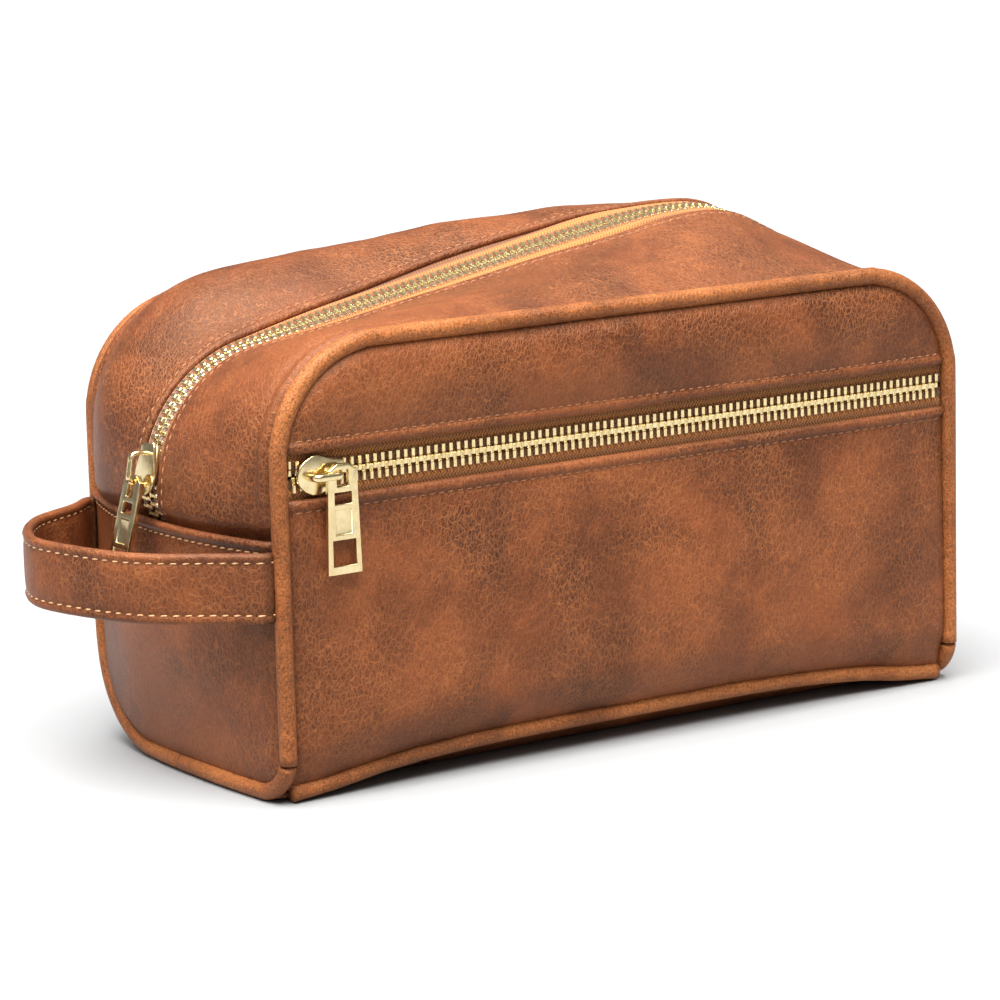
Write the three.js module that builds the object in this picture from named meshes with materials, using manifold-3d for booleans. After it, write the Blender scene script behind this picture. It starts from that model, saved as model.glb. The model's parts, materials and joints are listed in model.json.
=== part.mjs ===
// A soft leather shaving kit bag, in millimetres, +Z up. The origin is on the floor under the middle of the
// bag's length, halfway between the front and back piping. The front, with its zipped pocket, faces -Y,
// and the handle is on the -X end.
import * as THREE from "three";
import Module from "manifold-3d";
import { mergeVertices } from "three/addons/utils/BufferGeometryUtils.js";

// Overall shape, measured between piping centres.
const LENGTH = 259;
const DEPTH = 118;
const HEIGHT = 141.5;
const TOP_CORNER = 36;
const FRONT_FOOT = 13;
const BACK_FOOT = 38;
const END_BULGE = 11;
const BOTTOM_LIFT = 7;

// Materials' thicknesses and running gaps.
const PIPING_RADIUS = 2.8;
const LEATHER = 1.8;
const LINING = 0.8;
const TAPE = 0.7;
const BOARD = 1.6;
const SEAM_GAP = 1.0;
const TOUCH_GAP = 0.4;

// The front zip and its window in the front panel.
const FRONT_ZIP_DROP = 39.5;
const WINDOW_HALF = 7;
const POCKET_BULGE = 4;
const BACK_BULGE = 5;
const UPPER_BULGE = 3;
const POCKET_DEPTH = 9;
const POCKET_MOUTH_FROM_END = 41.5;
const PANEL_SINK = 0.2;

// The zip chain, which both zips share.
const CHAIN_HALF = 3.9;
const CHAIN_GAP = 0.5;
const CHAIN_THICKNESS = 2.6;
const TAPE_HIDDEN = 6;

// The main zip: up the ends, round the corners and over the top.
const ZIP_CORNER = 44;
const ZIP_CORNER_DROP = 51.5;
const ZIP_END_STANDOUT = 0.5;
const ZIP_RISE_DEG = 10.8;
const CREST_RISE = 20;
const CREST_AT = 55;
const SHOULDER_FROM_END = 37.5;
const SHOULDER_RISE = 13;
const MOUTH_FROM_END = 41.5;
const FLAP_GAP = 0.6;
const ARCH_BULGE_FRONT = 3;
const ARCH_BULGE_BACK = 9;

// End panels, handle and inner parts.
const END_TOP_DROP = 8;
const HANDLE_DROP = 13;
const HANDLE_WIDTH = 22;
const HANDLE_REACH = 47;
const HANDLE_LAYER = 1.4;
const HANDLE_PIVOT = 7;
const HANDLE_KNUCKLE = 11.8;
const LINING_DROP = 23.5;
const LINING_CLEARANCE = 0.5;
const BOARD_MARGIN = 8;
const POCKET_LINING_MARGIN = 12;
const FLOOR_GAP = 0.3;

// Sliders and pulls.
const SLIDER_LENGTH = 16;
const SLIDER_HALF_WIDTH = 6.2;
const PLATE = 1.2;
const SLIDER_CLEARANCE = 0.4;
const WEB = 0.4;
const BAIL_WIDTH = 2.4;
const BAIL_BAR = 1.4;
const BAIL_SPAN = 11.4;
const BAIL_RISE = 6.2;
const PULL_LENGTH = 34;
const PULL_TOP_WIDTH = 10;
const PULL_BOTTOM_WIDTH = 12;
const PULL_THICKNESS = 1.8;
const PIVOT_ROOM = 1.6;
const PULL_CORNER = 2;
const EYE_HALF = 2.1;
const EYE_ABOVE = 3.4;
const EYE_BELOW = 3.6;
const EYE_RIM = 1.8;
const SLOT_HALF = 3.1;
const SLOT_HEIGHT = 3.6;
const SLOT_BAR = 1.6;
const WINDOW_WIDE_HALF = 4.1;
const WINDOW_HEIGHT = 8;
const WINDOW_RIM = 2.7;
const PULL_FREE = 0.3;
const FRONT_SLIDER_FROM_END = 13.8;
const MAIN_SLIDER_DEG = 10;
const MAIN_PULL_TILT_DEG = 15;

const halfLength = LENGTH / 2;
const halfDepth = DEPTH / 2;
const seamInset = PIPING_RADIUS + SEAM_GAP;
const pipingLow = PIPING_RADIUS + FLOOR_GAP;
const frontZipHeight = HEIGHT - FRONT_ZIP_DROP;
const zipCornerHeight = HEIGHT - ZIP_CORNER_DROP;
const endTop = zipCornerHeight - END_TOP_DROP;
const handleHeight = endTop - HANDLE_DROP;
const mouthHalf = halfLength - MOUTH_FROM_END;
const pocketMouthHalf = halfLength - POCKET_MOUTH_FROM_END;
const frontSliderAt = -halfLength + FRONT_SLIDER_FROM_END;

const leather = new THREE.MeshStandardMaterial({ color: 0x9c5430, roughness: 0.5, metalness: 0 });
const pipingLeather = new THREE.MeshStandardMaterial({ color: 0xa85c30, roughness: 0.5, metalness: 0 });
const tapeCloth = new THREE.MeshStandardMaterial({ color: 0xb06a22, roughness: 0.9, metalness: 0 });
const brass = new THREE.MeshStandardMaterial({ color: 0xd8b468, roughness: 0.25, metalness: 1 });
const liningCloth = new THREE.MeshStandardMaterial({ color: 0x5a4334, roughness: 0.9, metalness: 0 });
const greyBoard = new THREE.MeshStandardMaterial({ color: 0x8c8578, roughness: 0.95, metalness: 0 });

const bag = new THREE.Group();
bag.name = "shaving_kit_bag";

function add(name, geometry, material) {
  const mesh = new THREE.Mesh(geometry, material.clone());
  mesh.name = name;
  bag.add(mesh);
  return mesh;
}

const mix = (a, b, t) => a + (b - a) * t;
const smooth = (t) => {
  const c = Math.min(1, Math.max(0, t));
  return c * c * (3 - 2 * c);
};

// ---------------------------------------------------------------- general shapes

// A closed sheet of one thickness. pointAt(u, v) gives its outer face, and du x dv points outwards.
function thickSheet(pointAt, thickness, columns, rows) {
  const step = 1e-3;
  const outer = [];
  const inner = [];
  for (let j = 0; j <= rows; j++) {
    for (let i = 0; i <= columns; i++) {
      const u = i / columns;
      const v = j / rows;
      const point = pointAt(u, v);
      const along = pointAt(Math.min(u + step, 1), v).sub(pointAt(Math.max(u - step, 0), v));
      const across = pointAt(u, Math.min(v + step, 1)).sub(pointAt(u, Math.max(v - step, 0)));
      const normal = along.cross(across).normalize();
      outer.push(point);
      inner.push(point.clone().addScaledVector(normal, -thickness));
    }
  }
  const across = columns + 1;
  const count = outer.length;
  const index = [];
  const quad = (a, b, c, d) => index.push(a, b, c, a, c, d);
  for (let j = 0; j < rows; j++) {
    for (let i = 0; i < columns; i++) {
      const a = j * across + i;
      const [b, c, d] = [a + 1, a + across + 1, a + across];
      quad(a, b, c, d);
      quad(count + a, count + d, count + c, count + b);
    }
  }
  for (let i = 0; i < columns; i++) {
    const top = rows * across + i;
    quad(i + 1, i, count + i, count + i + 1);
    quad(top, top + 1, count + top + 1, count + top);
  }
  for (let j = 0; j < rows; j++) {
    const left = j * across;
    const right = left + columns;
    quad(left, left + across, count + left + across, count + left);
    quad(right + across, right, count + right, count + right + across);
  }
  const geometry = new THREE.BufferGeometry().setFromPoints([...outer, ...inner]);
  geometry.setIndex(index);
  return geometry;
}

// A polyline that gives the point at a share of its length.
function polyline(points) {
  const lengths = [0];
  for (let i = 1; i < points.length; i++) {
    lengths.push(lengths[i - 1] + points[i].distanceTo(points[i - 1]));
  }
  const total = lengths[lengths.length - 1];
  return (share) => {
    const wanted = share * total;
    let i = 1;
    while (i < points.length - 1 && lengths[i] < wanted) i++;
    const t = (wanted - lengths[i - 1]) / (lengths[i] - lengths[i - 1]);
    return points[i - 1].clone().lerp(points[i], t);
  };
}

// Points on an arc in a plane, from one angle to another in degrees.
function arc(cx, cy, radius, fromDeg, toDeg, count) {
  return Array.from({ length: count + 1 }, (_, i) => {
    const angle = THREE.MathUtils.degToRad(mix(fromDeg, toDeg, i / count));
    return new THREE.Vector2(cx + radius * Math.cos(angle), cy + radius * Math.sin(angle));
  });
}

function tubeAlong(points, radius, steps) {
  const path = new THREE.CatmullRomCurve3(points, false, "centripetal");
  const ring = new THREE.Shape();
  ring.absarc(0, 0, radius, 0, 2 * Math.PI, false);
  const settings = { steps, curveSegments: 4, bevelEnabled: false, extrudePath: path };
  return new THREE.ExtrudeGeometry(ring, settings);
}

// An outline in the X-Y plane pulled up along Z, from low to high.
function prism(outline, low, high, holes = []) {
  const shape = new THREE.Shape(outline);
  shape.holes = holes.map((hole) => new THREE.Path(hole));
  const geometry = new THREE.ExtrudeGeometry(shape, { depth: high - low, bevelEnabled: false });
  return geometry.translate(0, 0, low);
}

const rectangle = (x0, y0, x1, y1) => [
  new THREE.Vector2(x0, y0),
  new THREE.Vector2(x1, y0),
  new THREE.Vector2(x1, y1),
  new THREE.Vector2(x0, y1),
];

function box(x0, x1, y0, y1, z0, z1, lengths = 1) {
  const geometry = new THREE.BoxGeometry(x1 - x0, y1 - y0, z1 - z0, lengths);
  return geometry.translate((x0 + x1) / 2, (y0 + y1) / 2, (z0 + z1) / 2);
}

// Joins and cuts with manifold-3d.
const wasm = await Module();
wasm.setup();

function toSolid(geometry) {
  const bare = geometry.clone();
  bare.deleteAttribute("normal");
  bare.deleteAttribute("uv");
  const merged = mergeVertices(bare, 1e-4);
  const mesh = new wasm.Mesh({
    numProp: 3,
    vertProperties: merged.attributes.position.array,
    triVerts: new Uint32Array(merged.index.array),
  });
  return new wasm.Manifold(mesh);
}

function toGeometry(solid) {
  const mesh = solid.getMesh();
  const geometry = new THREE.BufferGeometry();
  geometry.setAttribute("position", new THREE.BufferAttribute(mesh.vertProperties, mesh.numProp));
  geometry.setIndex(new THREE.BufferAttribute(mesh.triVerts, 1));
  return geometry;
}

const join = (...geometries) => toGeometry(geometries.map(toSolid).reduce((a, b) => a.add(b)));
function cut(geometry, ...tools) {
  const left = tools.map(toSolid).reduce((a, b) => a.subtract(b), toSolid(geometry));
  return toGeometry(left);
}

// ---------------------------------------------------------------- seams

// How far the ends bow out at a depth.
const endBow = (y) => END_BULGE * (1 - (y / halfDepth) ** 2);

// Height of the bag's underside over the floor at a depth, at the piping's centre or inset from it.
const frontFootY = -halfDepth + FRONT_FOOT;
const backFootY = halfDepth - BACK_FOOT;
function footHeight(y, inset = 0) {
  const flat = pipingLow + inset;
  if (y < frontFootY) {
    const radius = FRONT_FOOT - inset;
    return pipingLow + FRONT_FOOT - Math.sqrt(Math.max(0, radius ** 2 - (y - frontFootY) ** 2));
  }
  if (y > backFootY) {
    const radius = BACK_FOOT - inset;
    return pipingLow + BACK_FOOT - Math.sqrt(Math.max(0, radius ** 2 - (y - backFootY) ** 2));
  }
  return flat;
}

// Half the panels' width at a height, where the top corners round off.
const archCentre = HEIGHT - TOP_CORNER;
function halfWidth(z, inset = 0) {
  const radius = TOP_CORNER - inset;
  const above = Math.min(Math.max(0, z - archCentre), radius);
  return halfLength - TOP_CORNER + Math.sqrt(radius ** 2 - above ** 2);
}

// How far the bottom seam lifts off the floor along the bag.
const bottomLift = (x) => BOTTOM_LIFT * Math.max(0, 1 - (x / (halfLength - 11)) ** 4);

// ---------------------------------------------------------------- piping

// One side's piping, from the middle of the left end's bottom seam, over the arch, to the right end's.
function sidePiping(side) {
  const footY = side < 0 ? frontFootY : backFootY;
  const footRadius = side < 0 ? FRONT_FOOT : BACK_FOOT;
  const middleY = (TOUCH_GAP + PANEL_SINK) / 2;
  const footTop = pipingLow + footRadius;
  const down = [];
  for (const y of [side * middleY, footY * 0.5, footY]) {
    down.push(new THREE.Vector3(-halfLength - endBow(y), y, pipingLow));
  }
  for (const point of arc(0, 0, footRadius, -90, 0, 6).slice(1)) {
    const y = footY + side * point.x;
    down.push(new THREE.Vector3(-halfLength - endBow(y), y, footTop + point.y));
  }
  const sideY = side * halfDepth;
  const middleHeight = mix(footTop, archCentre, 0.5);
  down.push(new THREE.Vector3(-halfLength, sideY, middleHeight));
  for (const point of arc(-halfLength + TOP_CORNER, archCentre, TOP_CORNER, 180, 90, 7)) {
    down.push(new THREE.Vector3(point.x, sideY, point.y));
  }
  const half = down.concat(new THREE.Vector3(0, sideY, HEIGHT));
  const mirrored = down.map((p) => new THREE.Vector3(-p.x, p.y, p.z)).reverse();
  return tubeAlong(half.concat(mirrored), PIPING_RADIUS, 78);
}

function bottomPiping(y, lift) {
  const end = halfLength - PIPING_RADIUS - SEAM_GAP / 2;
  const points = [-1, -0.85, -0.6, -0.3, 0, 0.3, 0.6, 0.85, 1].map(
    (share) => new THREE.Vector3(share * end, y, pipingLow + (lift ? bottomLift(share * end) : 0)),
  );
  return tubeAlong(points, PIPING_RADIUS, lift ? 24 : 2);
}

const frontBottomY = -halfDepth + FRONT_FOOT * 0.3;
add("piping_front", sidePiping(-1), pipingLeather);
add("piping_back", sidePiping(1), pipingLeather);
add("piping_bottom_front", bottomPiping(frontBottomY, true), pipingLeather);
add("piping_bottom_back", bottomPiping(backFootY, false), pipingLeather);

// ---------------------------------------------------------------- front, back, base and end panels

const frontFace = -halfDepth - LEATHER + PANEL_SINK;
const windowLow = frontZipHeight - WINDOW_HALF;
const windowHigh = frontZipHeight + WINDOW_HALF;

// A panel's crown, none at its edges.
const crown = (u, v, size) => size * (1 - (2 * u - 1) ** 4) * Math.sin(Math.PI * v);

function frontUpper(u, v) {
  const z = mix(windowHigh, HEIGHT - seamInset, v);
  const x = mix(-1, 1, u) * halfWidth(z, seamInset);
  return new THREE.Vector3(x, frontFace - crown(u, v, UPPER_BULGE), z);
}

// The pocket's panel and the lower half of its zip are cut at the pocket's mouth, whose middle part opens.
const frontZipHalf = halfWidth(windowHigh + TAPE_HIDDEN, seamInset);
const pocketParts = {
  left: [-frontZipHalf, -pocketMouthHalf - FLAP_GAP],
  mouth: [-pocketMouthHalf, pocketMouthHalf],
  right: [pocketMouthHalf + FLAP_GAP, frontZipHalf],
};

function pocketPanel(from, to) {
  return (u, v) => {
    const x = mix(from, to, u);
    const low = pipingLow + bottomLift(x) + seamInset + SEAM_GAP;
    const z = mix(low, windowLow, v);
    const tuck = FRONT_FOOT * 0.25 * (1 - smooth((z - low) / FRONT_FOOT));
    const across = x / frontZipHalf / 2 + 0.5;
    return new THREE.Vector3(x, frontFace + tuck - crown(across, v ** 0.6, POCKET_BULGE), z);
  };
}

add("front_upper_panel", thickSheet(frontUpper, LEATHER, 12, 4), leather);
for (const [where, [from, to]] of Object.entries(pocketParts)) {
  const columns = where === "mouth" ? 8 : 4;
  add(`front_pocket_panel_${where}`, thickSheet(pocketPanel(from, to), LEATHER, columns, 6), leather);
}

// The back panel runs down the back and under, to the base's back seam.
const backFace = halfDepth + LEATHER - PANEL_SINK;
const backUnder = BACK_FOOT + LEATHER - PANEL_SINK;
const backProfile = polyline([
  ...arc(backFootY, pipingLow + BACK_FOOT, BACK_FOOT, -90 + 6.5, 0, 8),
  new THREE.Vector2(halfDepth, HEIGHT - seamInset),
].map((p) => new THREE.Vector3(0, p.x, p.y)));

function backPanel(u, v) {
  const { y, z } = backProfile(v);
  const low = z < pipingLow + BACK_FOOT;
  const x = mix(1, -1, u) * (halfWidth(z, seamInset) + (low ? endBow(y) : 0));
  const swell = z > 20 ? crown(u, (z - 20) / (HEIGHT - seamInset - 20), BACK_BULGE) : 0;
  return new THREE.Vector3(x, y + swell, z);
}
add("back_panel", thickSheet(backPanel, LEATHER, 12, 12), leather);

// The base's outer face is its underside. It is flat on the floor, but a strip climbs to the front seam.
const baseFront = frontBottomY + seamInset;
const baseBack = backFootY - seamInset;
const baseFlatFrom = baseFront + 12;
function basePanel(u, v) {
  const y = mix(baseFront, baseBack, v);
  const x = mix(1, -1, u) * (halfLength - seamInset + endBow(y));
  const climb = smooth((baseFlatFrom - y) / (baseFlatFrom - baseFront));
  return new THREE.Vector3(x, y, bottomLift(x) * climb);
}
add("base_panel", thickSheet(basePanel, LEATHER, 14, 12), leather);

function endPanel(side) {
  const reach = halfDepth - seamInset;
  return thickSheet((u, v) => {
    const y = mix(-reach, reach, u) * side;
    const z = mix(footHeight(y, seamInset) + PANEL_SINK, endTop, v);
    return new THREE.Vector3(side * (halfLength + endBow(y) + LEATHER), y, z);
  }, LEATHER, 14, 4);
}

// ---------------------------------------------------------------- zip line and gusset

// The gusset and the zip end at the end panels' folded top edges.
const gussetFoot = endTop + TOUCH_GAP;

// The main zip's line in the X-Z plane: up the left end, round its corner, over the skewed crest
// and down the right end.
const zipEndX = halfLength + END_BULGE + ZIP_END_STANDOUT;
const zipCentreX = zipEndX - ZIP_CORNER;
const leftTurn = arc(-zipCentreX, zipCornerHeight, ZIP_CORNER, 180, 90 + ZIP_RISE_DEG, 10);
const overTop = new THREE.SplineCurve([
  leftTurn[leftTurn.length - 2],
  leftTurn[leftTurn.length - 1],
  new THREE.Vector2(-mouthHalf / 2, mix(leftTurn[leftTurn.length - 1].y, HEIGHT + CREST_RISE, 0.42)),
  new THREE.Vector2(CREST_AT, HEIGHT + CREST_RISE),
  new THREE.Vector2(halfLength - SHOULDER_FROM_END, HEIGHT + SHOULDER_RISE),
  ...arc(zipCentreX, zipCornerHeight, ZIP_CORNER, 46, 0, 3),
]).getPoints(80);
const turned = overTop.findIndex((p) => p.x > leftTurn[leftTurn.length - 1].x);
const zipLine = [
  new THREE.Vector2(-zipEndX, gussetFoot),
  ...leftTurn,
  ...overTop.slice(turned),
  new THREE.Vector2(zipEndX, gussetFoot),
];

// The seam's line over the arch, in the same plane.
const seamLine = [
  new THREE.Vector2(-halfLength, gussetFoot),
  ...arc(-halfLength + TOP_CORNER, archCentre, TOP_CORNER, 180, 90, 8),
  ...arc(halfLength - TOP_CORNER, archCentre, TOP_CORNER, 90, 0, 8),
  new THREE.Vector2(halfLength, gussetFoot),
];

// The height of a line at a place along the top.
function heightAt(line, x) {
  const i = line.findIndex((p, k) => k > 0 && p.x >= x && line[k - 1].x < x);
  const t = (x - line[i - 1].x) / (line[i].x - line[i - 1].x);
  return mix(line[i - 1].y, line[i].y, t);
}

// The part of a line on one end of the bag, up to the mouth's edge, from its foot.
function endOf(line, side) {
  const edge = side * (mouthHalf + FLAP_GAP);
  const points = line.filter((p) => side * p.x > side * edge);
  const climbing = side < 0 ? points : points.reverse();
  const top = new THREE.Vector2(edge, heightAt(line, edge));
  return polyline([...climbing, top].map((p) => new THREE.Vector3(p.x, 0, p.y)));
}

// Where the gusset is, as place(share along, share from seam to zip), for the mouth and the two ends.
function gussetPlaces() {
  const mouth = {
    seam: (u) => new THREE.Vector3(mix(-mouthHalf, mouthHalf, u), 0, HEIGHT),
    zip: (u) => {
      const x = mix(-mouthHalf, mouthHalf, u);
      return new THREE.Vector3(x, 0, heightAt(zipLine, x));
    },
  };
  const left = { seam: endOf(seamLine, -1), zip: endOf(zipLine, -1) };
  const rightSeam = endOf(seamLine, 1);
  const rightZip = endOf(zipLine, 1);
  const right = { seam: (u) => rightSeam(1 - u), zip: (u) => rightZip(1 - u) };
  return { left, mouth, right };
}

// The outward direction of a line in the X-Z plane at a share of its length.
function outwards(line, u) {
  const step = 5e-3;
  const along = line(Math.min(1, u + step)).sub(line(Math.max(0, u - step)));
  return new THREE.Vector3(-along.z, 0, along.x).normalize();
}

// A strip of one half of the top, side -1 in front and 1 behind, between two distances from the zip.
function zipStrip(place, side, near, far, lift, thickness, columns) {
  return thickSheet((u, v) => {
    const across = side < 0 ? mix(far, near, v) : mix(near, far, v);
    const point = place.zip(u).addScaledVector(outwards(place.zip, u), lift);
    const droop = Math.max(0, across - WINDOW_HALF) * 0.12;
    point.addScaledVector(outwards(place.zip, u), -droop);
    point.y = side * across;
    return point;
  }, thickness, columns, 1);
}

const leatherLift = 2.2;
function gusset(place, side, bulge, columns) {
  return thickSheet((u, v) => {
    const fromSeam = side < 0 ? v : 1 - v;
    const seam = place.seam(u).addScaledVector(outwards(place.seam, u), LEATHER / 2);
    const zip = place.zip(u).addScaledVector(outwards(place.zip, u), leatherLift);
    const point = seam.clone().lerp(zip, smooth(fromSeam) * 0.4 + fromSeam * 0.6);
    point.addScaledVector(outwards(place.seam, u), bulge(point.x) * 4 * fromSeam * (1 - fromSeam));
    point.y = side * mix(halfDepth - seamInset, WINDOW_HALF, fromSeam);
    return point;
  }, LEATHER, columns, 6);
}

// The front half swells on the right and the back half on the left and middle.
const swell = {
  "-1": (x) => ARCH_BULGE_FRONT * (1 + smooth(x / halfLength)),
  1: (x) => ARCH_BULGE_BACK * (1 - 0.5 * smooth(x / halfLength)),
};
const places = gussetPlaces();
const halves = { front: -1, back: 1 };
for (const [half, side] of Object.entries(halves)) {
  for (const [where, place] of Object.entries(places)) {
    const columns = where === "mouth" ? 10 : 12;
    const chainInner = -CHAIN_THICKNESS / 2;
    add(`gusset_${half}_${where}`, gusset(place, side, swell[side], columns), leather);
    add(
      `main_tape_${half}_${where}`,
      zipStrip(place, side, CHAIN_HALF + TOUCH_GAP, WINDOW_HALF + TAPE_HIDDEN, TAPE / 2, TAPE, columns),
      tapeCloth,
    );
    add(
      `main_teeth_${half}_${where}`,
      zipStrip(place, side, CHAIN_GAP, CHAIN_HALF, -chainInner, CHAIN_THICKNESS, columns),
      brass,
    );
  }
}
add("end_panel_left", endPanel(-1), leather);
add("end_panel_right", endPanel(1), leather);

// ---------------------------------------------------------------- front zip

const frontTapeY = frontFace + LEATHER + TOUCH_GAP + TAPE / 2;
const fullWidth = [-frontZipHalf, frontZipHalf];
function frontZipHalfRow(name, side, [from, to]) {
  const strip = (near, far, thickness) => {
    const [low, high] = [near, far].map((d) => frontZipHeight + side * d).sort((a, b) => a - b);
    return box(from, to, frontTapeY - thickness / 2, frontTapeY + thickness / 2, low, high);
  };
  add(`front_tape_${name}`, strip(CHAIN_HALF + TOUCH_GAP, WINDOW_HALF + TAPE_HIDDEN, TAPE), tapeCloth);
  add(`front_teeth_${name}`, strip(CHAIN_GAP, CHAIN_HALF, CHAIN_THICKNESS), brass);
}
frontZipHalfRow("upper", 1, fullWidth);
for (const [where, span] of Object.entries(pocketParts)) {
  frontZipHalfRow(`lower_${where}`, -1, span);
}

// ---------------------------------------------------------------- sliders

// A slider in its own frame: X along the zip, Y across it, Z out of the bag from the chain's middle.
const plateLow = CHAIN_THICKNESS / 2 + SLIDER_CLEARANCE;
const plateHigh = plateLow + PLATE;
const flangeStart = TAPE / 2 + TOUCH_GAP;

function sliderBody(bend = (geometry) => geometry) {
  const half = SLIDER_LENGTH / 2;
  const wide = SLIDER_HALF_WIDTH;
  const flangeInner = CHAIN_HALF + TOUCH_GAP;
  const long = (...sides) => bend(box(-half, half, ...sides, 4));
  const parts = [
    long(-wide, wide, plateLow, plateHigh),
    long(-wide, wide, -plateHigh, -plateLow),
    long(-WEB / 2, WEB / 2, -plateLow - PLATE / 2, plateLow + PLATE / 2),
  ];
  for (const side of [-1, 1]) {
    const [near, far] = [side * flangeInner, side * wide].sort((a, b) => a - b);
    parts.push(long(near, far, flangeStart, plateLow + PLATE / 2));
  }
  return join(...parts);
}

// Bends a piece round the main zip's corner, its length along the chain.
function roundCorner(geometry) {
  const position = geometry.getAttribute("position");
  for (let i = 0; i < position.count; i++) {
    const angle = position.getX(i) / ZIP_CORNER;
    const out = ZIP_CORNER + position.getZ(i);
    position.setX(i, out * Math.sin(angle));
    position.setZ(i, out * Math.cos(angle) - ZIP_CORNER);
  }
  return geometry;
}

// The bail: a square arch over the body, standing on its top plate.
function bail() {
  const half = BAIL_SPAN / 2;
  const low = plateHigh + SLIDER_CLEARANCE;
  const high = plateHigh + BAIL_RISE;
  return cut(
    box(-half, half, -BAIL_WIDTH / 2, BAIL_WIDTH / 2, low, high),
    box(-half + BAIL_BAR, half - BAIL_BAR, -BAIL_WIDTH, BAIL_WIDTH, low - 1, high - BAIL_BAR),
  );
}

// The pull tab, hanging down -Y from its eye at the origin, in the X-Y plane, with its windows cut through.
function pullTab() {
  const top = PULL_TOP_WIDTH / 2;
  const bottom = PULL_BOTTOM_WIDTH / 2;
  const low = EYE_ABOVE - PULL_LENGTH;
  const outline = [
    new THREE.Vector2(-bottom, low),
    new THREE.Vector2(bottom, low),
    new THREE.Vector2(top, EYE_ABOVE - PULL_CORNER),
    new THREE.Vector2(top - PULL_CORNER, EYE_ABOVE),
    new THREE.Vector2(-top + PULL_CORNER, EYE_ABOVE),
    new THREE.Vector2(-top, EYE_ABOVE - PULL_CORNER),
  ];
  const slotTop = -EYE_BELOW - SLOT_BAR;
  const windowLow = low + WINDOW_RIM;
  const eye = rectangle(-EYE_HALF, -EYE_BELOW, EYE_HALF, EYE_ABOVE - EYE_RIM);
  const slot = rectangle(-SLOT_HALF, slotTop - SLOT_HEIGHT, SLOT_HALF, slotTop);
  const window = rectangle(-WINDOW_WIDE_HALF, windowLow, WINDOW_WIDE_HALF, windowLow + WINDOW_HEIGHT);
  return prism(outline, -PULL_THICKNESS / 2, PULL_THICKNESS / 2, [eye, slot, window]);
}

// Sits the front zip's slider parts in the bag: their X stays, their Z points out of the front.
function onFront(geometry) {
  return geometry.rotateX(Math.PI / 2).translate(frontSliderAt, frontTapeY, frontZipHeight);
}
const frontLegX = frontSliderAt + BAIL_SPAN / 2 - BAIL_BAR / 2;
const frontPullY = frontTapeY - plateHigh - BAIL_RISE + BAIL_BAR + PULL_THICKNESS / 2 + PULL_FREE;
add("front_slider_body", onFront(sliderBody()), brass);
add("front_slider_bail", onFront(bail()), brass);
add(
  "front_pull_tab",
  pullTab().rotateX(Math.PI / 2).translate(frontLegX, frontPullY, frontZipHeight),
  brass,
);

// The main slider sits on the left corner's arc, a little above its start.
const sliderAngle = THREE.MathUtils.degToRad(MAIN_SLIDER_DEG);
function onCorner(geometry) {
  return geometry
    .translate(0, 0, ZIP_CORNER)
    .rotateY(sliderAngle - Math.PI / 2)
    .translate(-zipCentreX, 0, zipCornerHeight);
}
add("main_slider_body", onCorner(sliderBody(roundCorner)), brass);
add("main_slider_bail", onCorner(bail()), brass);

// Its pull hangs from the bail's lower, outer corner, tilted off the end panel.
const pullPivotOut = ZIP_CORNER + plateHigh + BAIL_RISE - BAIL_BAR - PIVOT_ROOM;
const pullPivotBack = BAIL_SPAN / 2 - BAIL_BAR - PIVOT_ROOM;
const pullPivot = new THREE.Vector3(-pullPivotBack, 0, pullPivotOut)
  .applyAxisAngle(new THREE.Vector3(0, 1, 0), sliderAngle - Math.PI / 2)
  .add(new THREE.Vector3(-zipCentreX, 0, zipCornerHeight));
const hung = pullTab().translate(0, PULL_THICKNESS / 2 - EYE_ABOVE, 0);
hung.rotateX(Math.PI / 2).rotateZ(-Math.PI / 2).rotateY(THREE.MathUtils.degToRad(MAIN_PULL_TILT_DEG));
add("main_pull_tab", hung.translate(pullPivot.x, pullPivot.y, pullPivot.z), brass);

// ---------------------------------------------------------------- handle

// The loop in plan, from the front seam out round its tip to the back seam.
const handleTipX = -halfLength - HANDLE_REACH;
const handleRootX = -halfLength - 2 * PIPING_RADIUS - 0.6;
const handleCurve = new THREE.CatmullRomCurve3([
  new THREE.Vector3(handleRootX, -halfDepth + 1.5, 0),
  new THREE.Vector3(-halfLength - HANDLE_REACH * 0.3, -halfDepth * 0.83, 0),
  new THREE.Vector3(-halfLength - HANDLE_REACH * 0.72, -halfDepth * 0.5, 0),
  new THREE.Vector3(handleTipX, 0, 0),
  new THREE.Vector3(-halfLength - HANDLE_REACH * 0.96, halfDepth * 0.32, 0),
  new THREE.Vector3(-halfLength - HANDLE_REACH * 0.7, halfDepth * 0.65, 0),
  new THREE.Vector3(-halfLength - HANDLE_REACH * 0.3, halfDepth * 0.85, 0),
  new THREE.Vector3(handleRootX, halfDepth - 1.5, 0),
], false, "centripetal");

// One layer of the strap, between two offsets outside its middle line.
function strapLayer(outside, thickness) {
  return thickSheet((u, v) => {
    const along = handleCurve.getTangentAt(u);
    const point = handleCurve.getPointAt(u);
    point.add(new THREE.Vector3(-along.y, along.x, 0).multiplyScalar(outside));
    point.z = handleHeight + mix(HANDLE_WIDTH / 2, -HANDLE_WIDTH / 2, v);
    return point;
  }, thickness, 28, 1);
}

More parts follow.
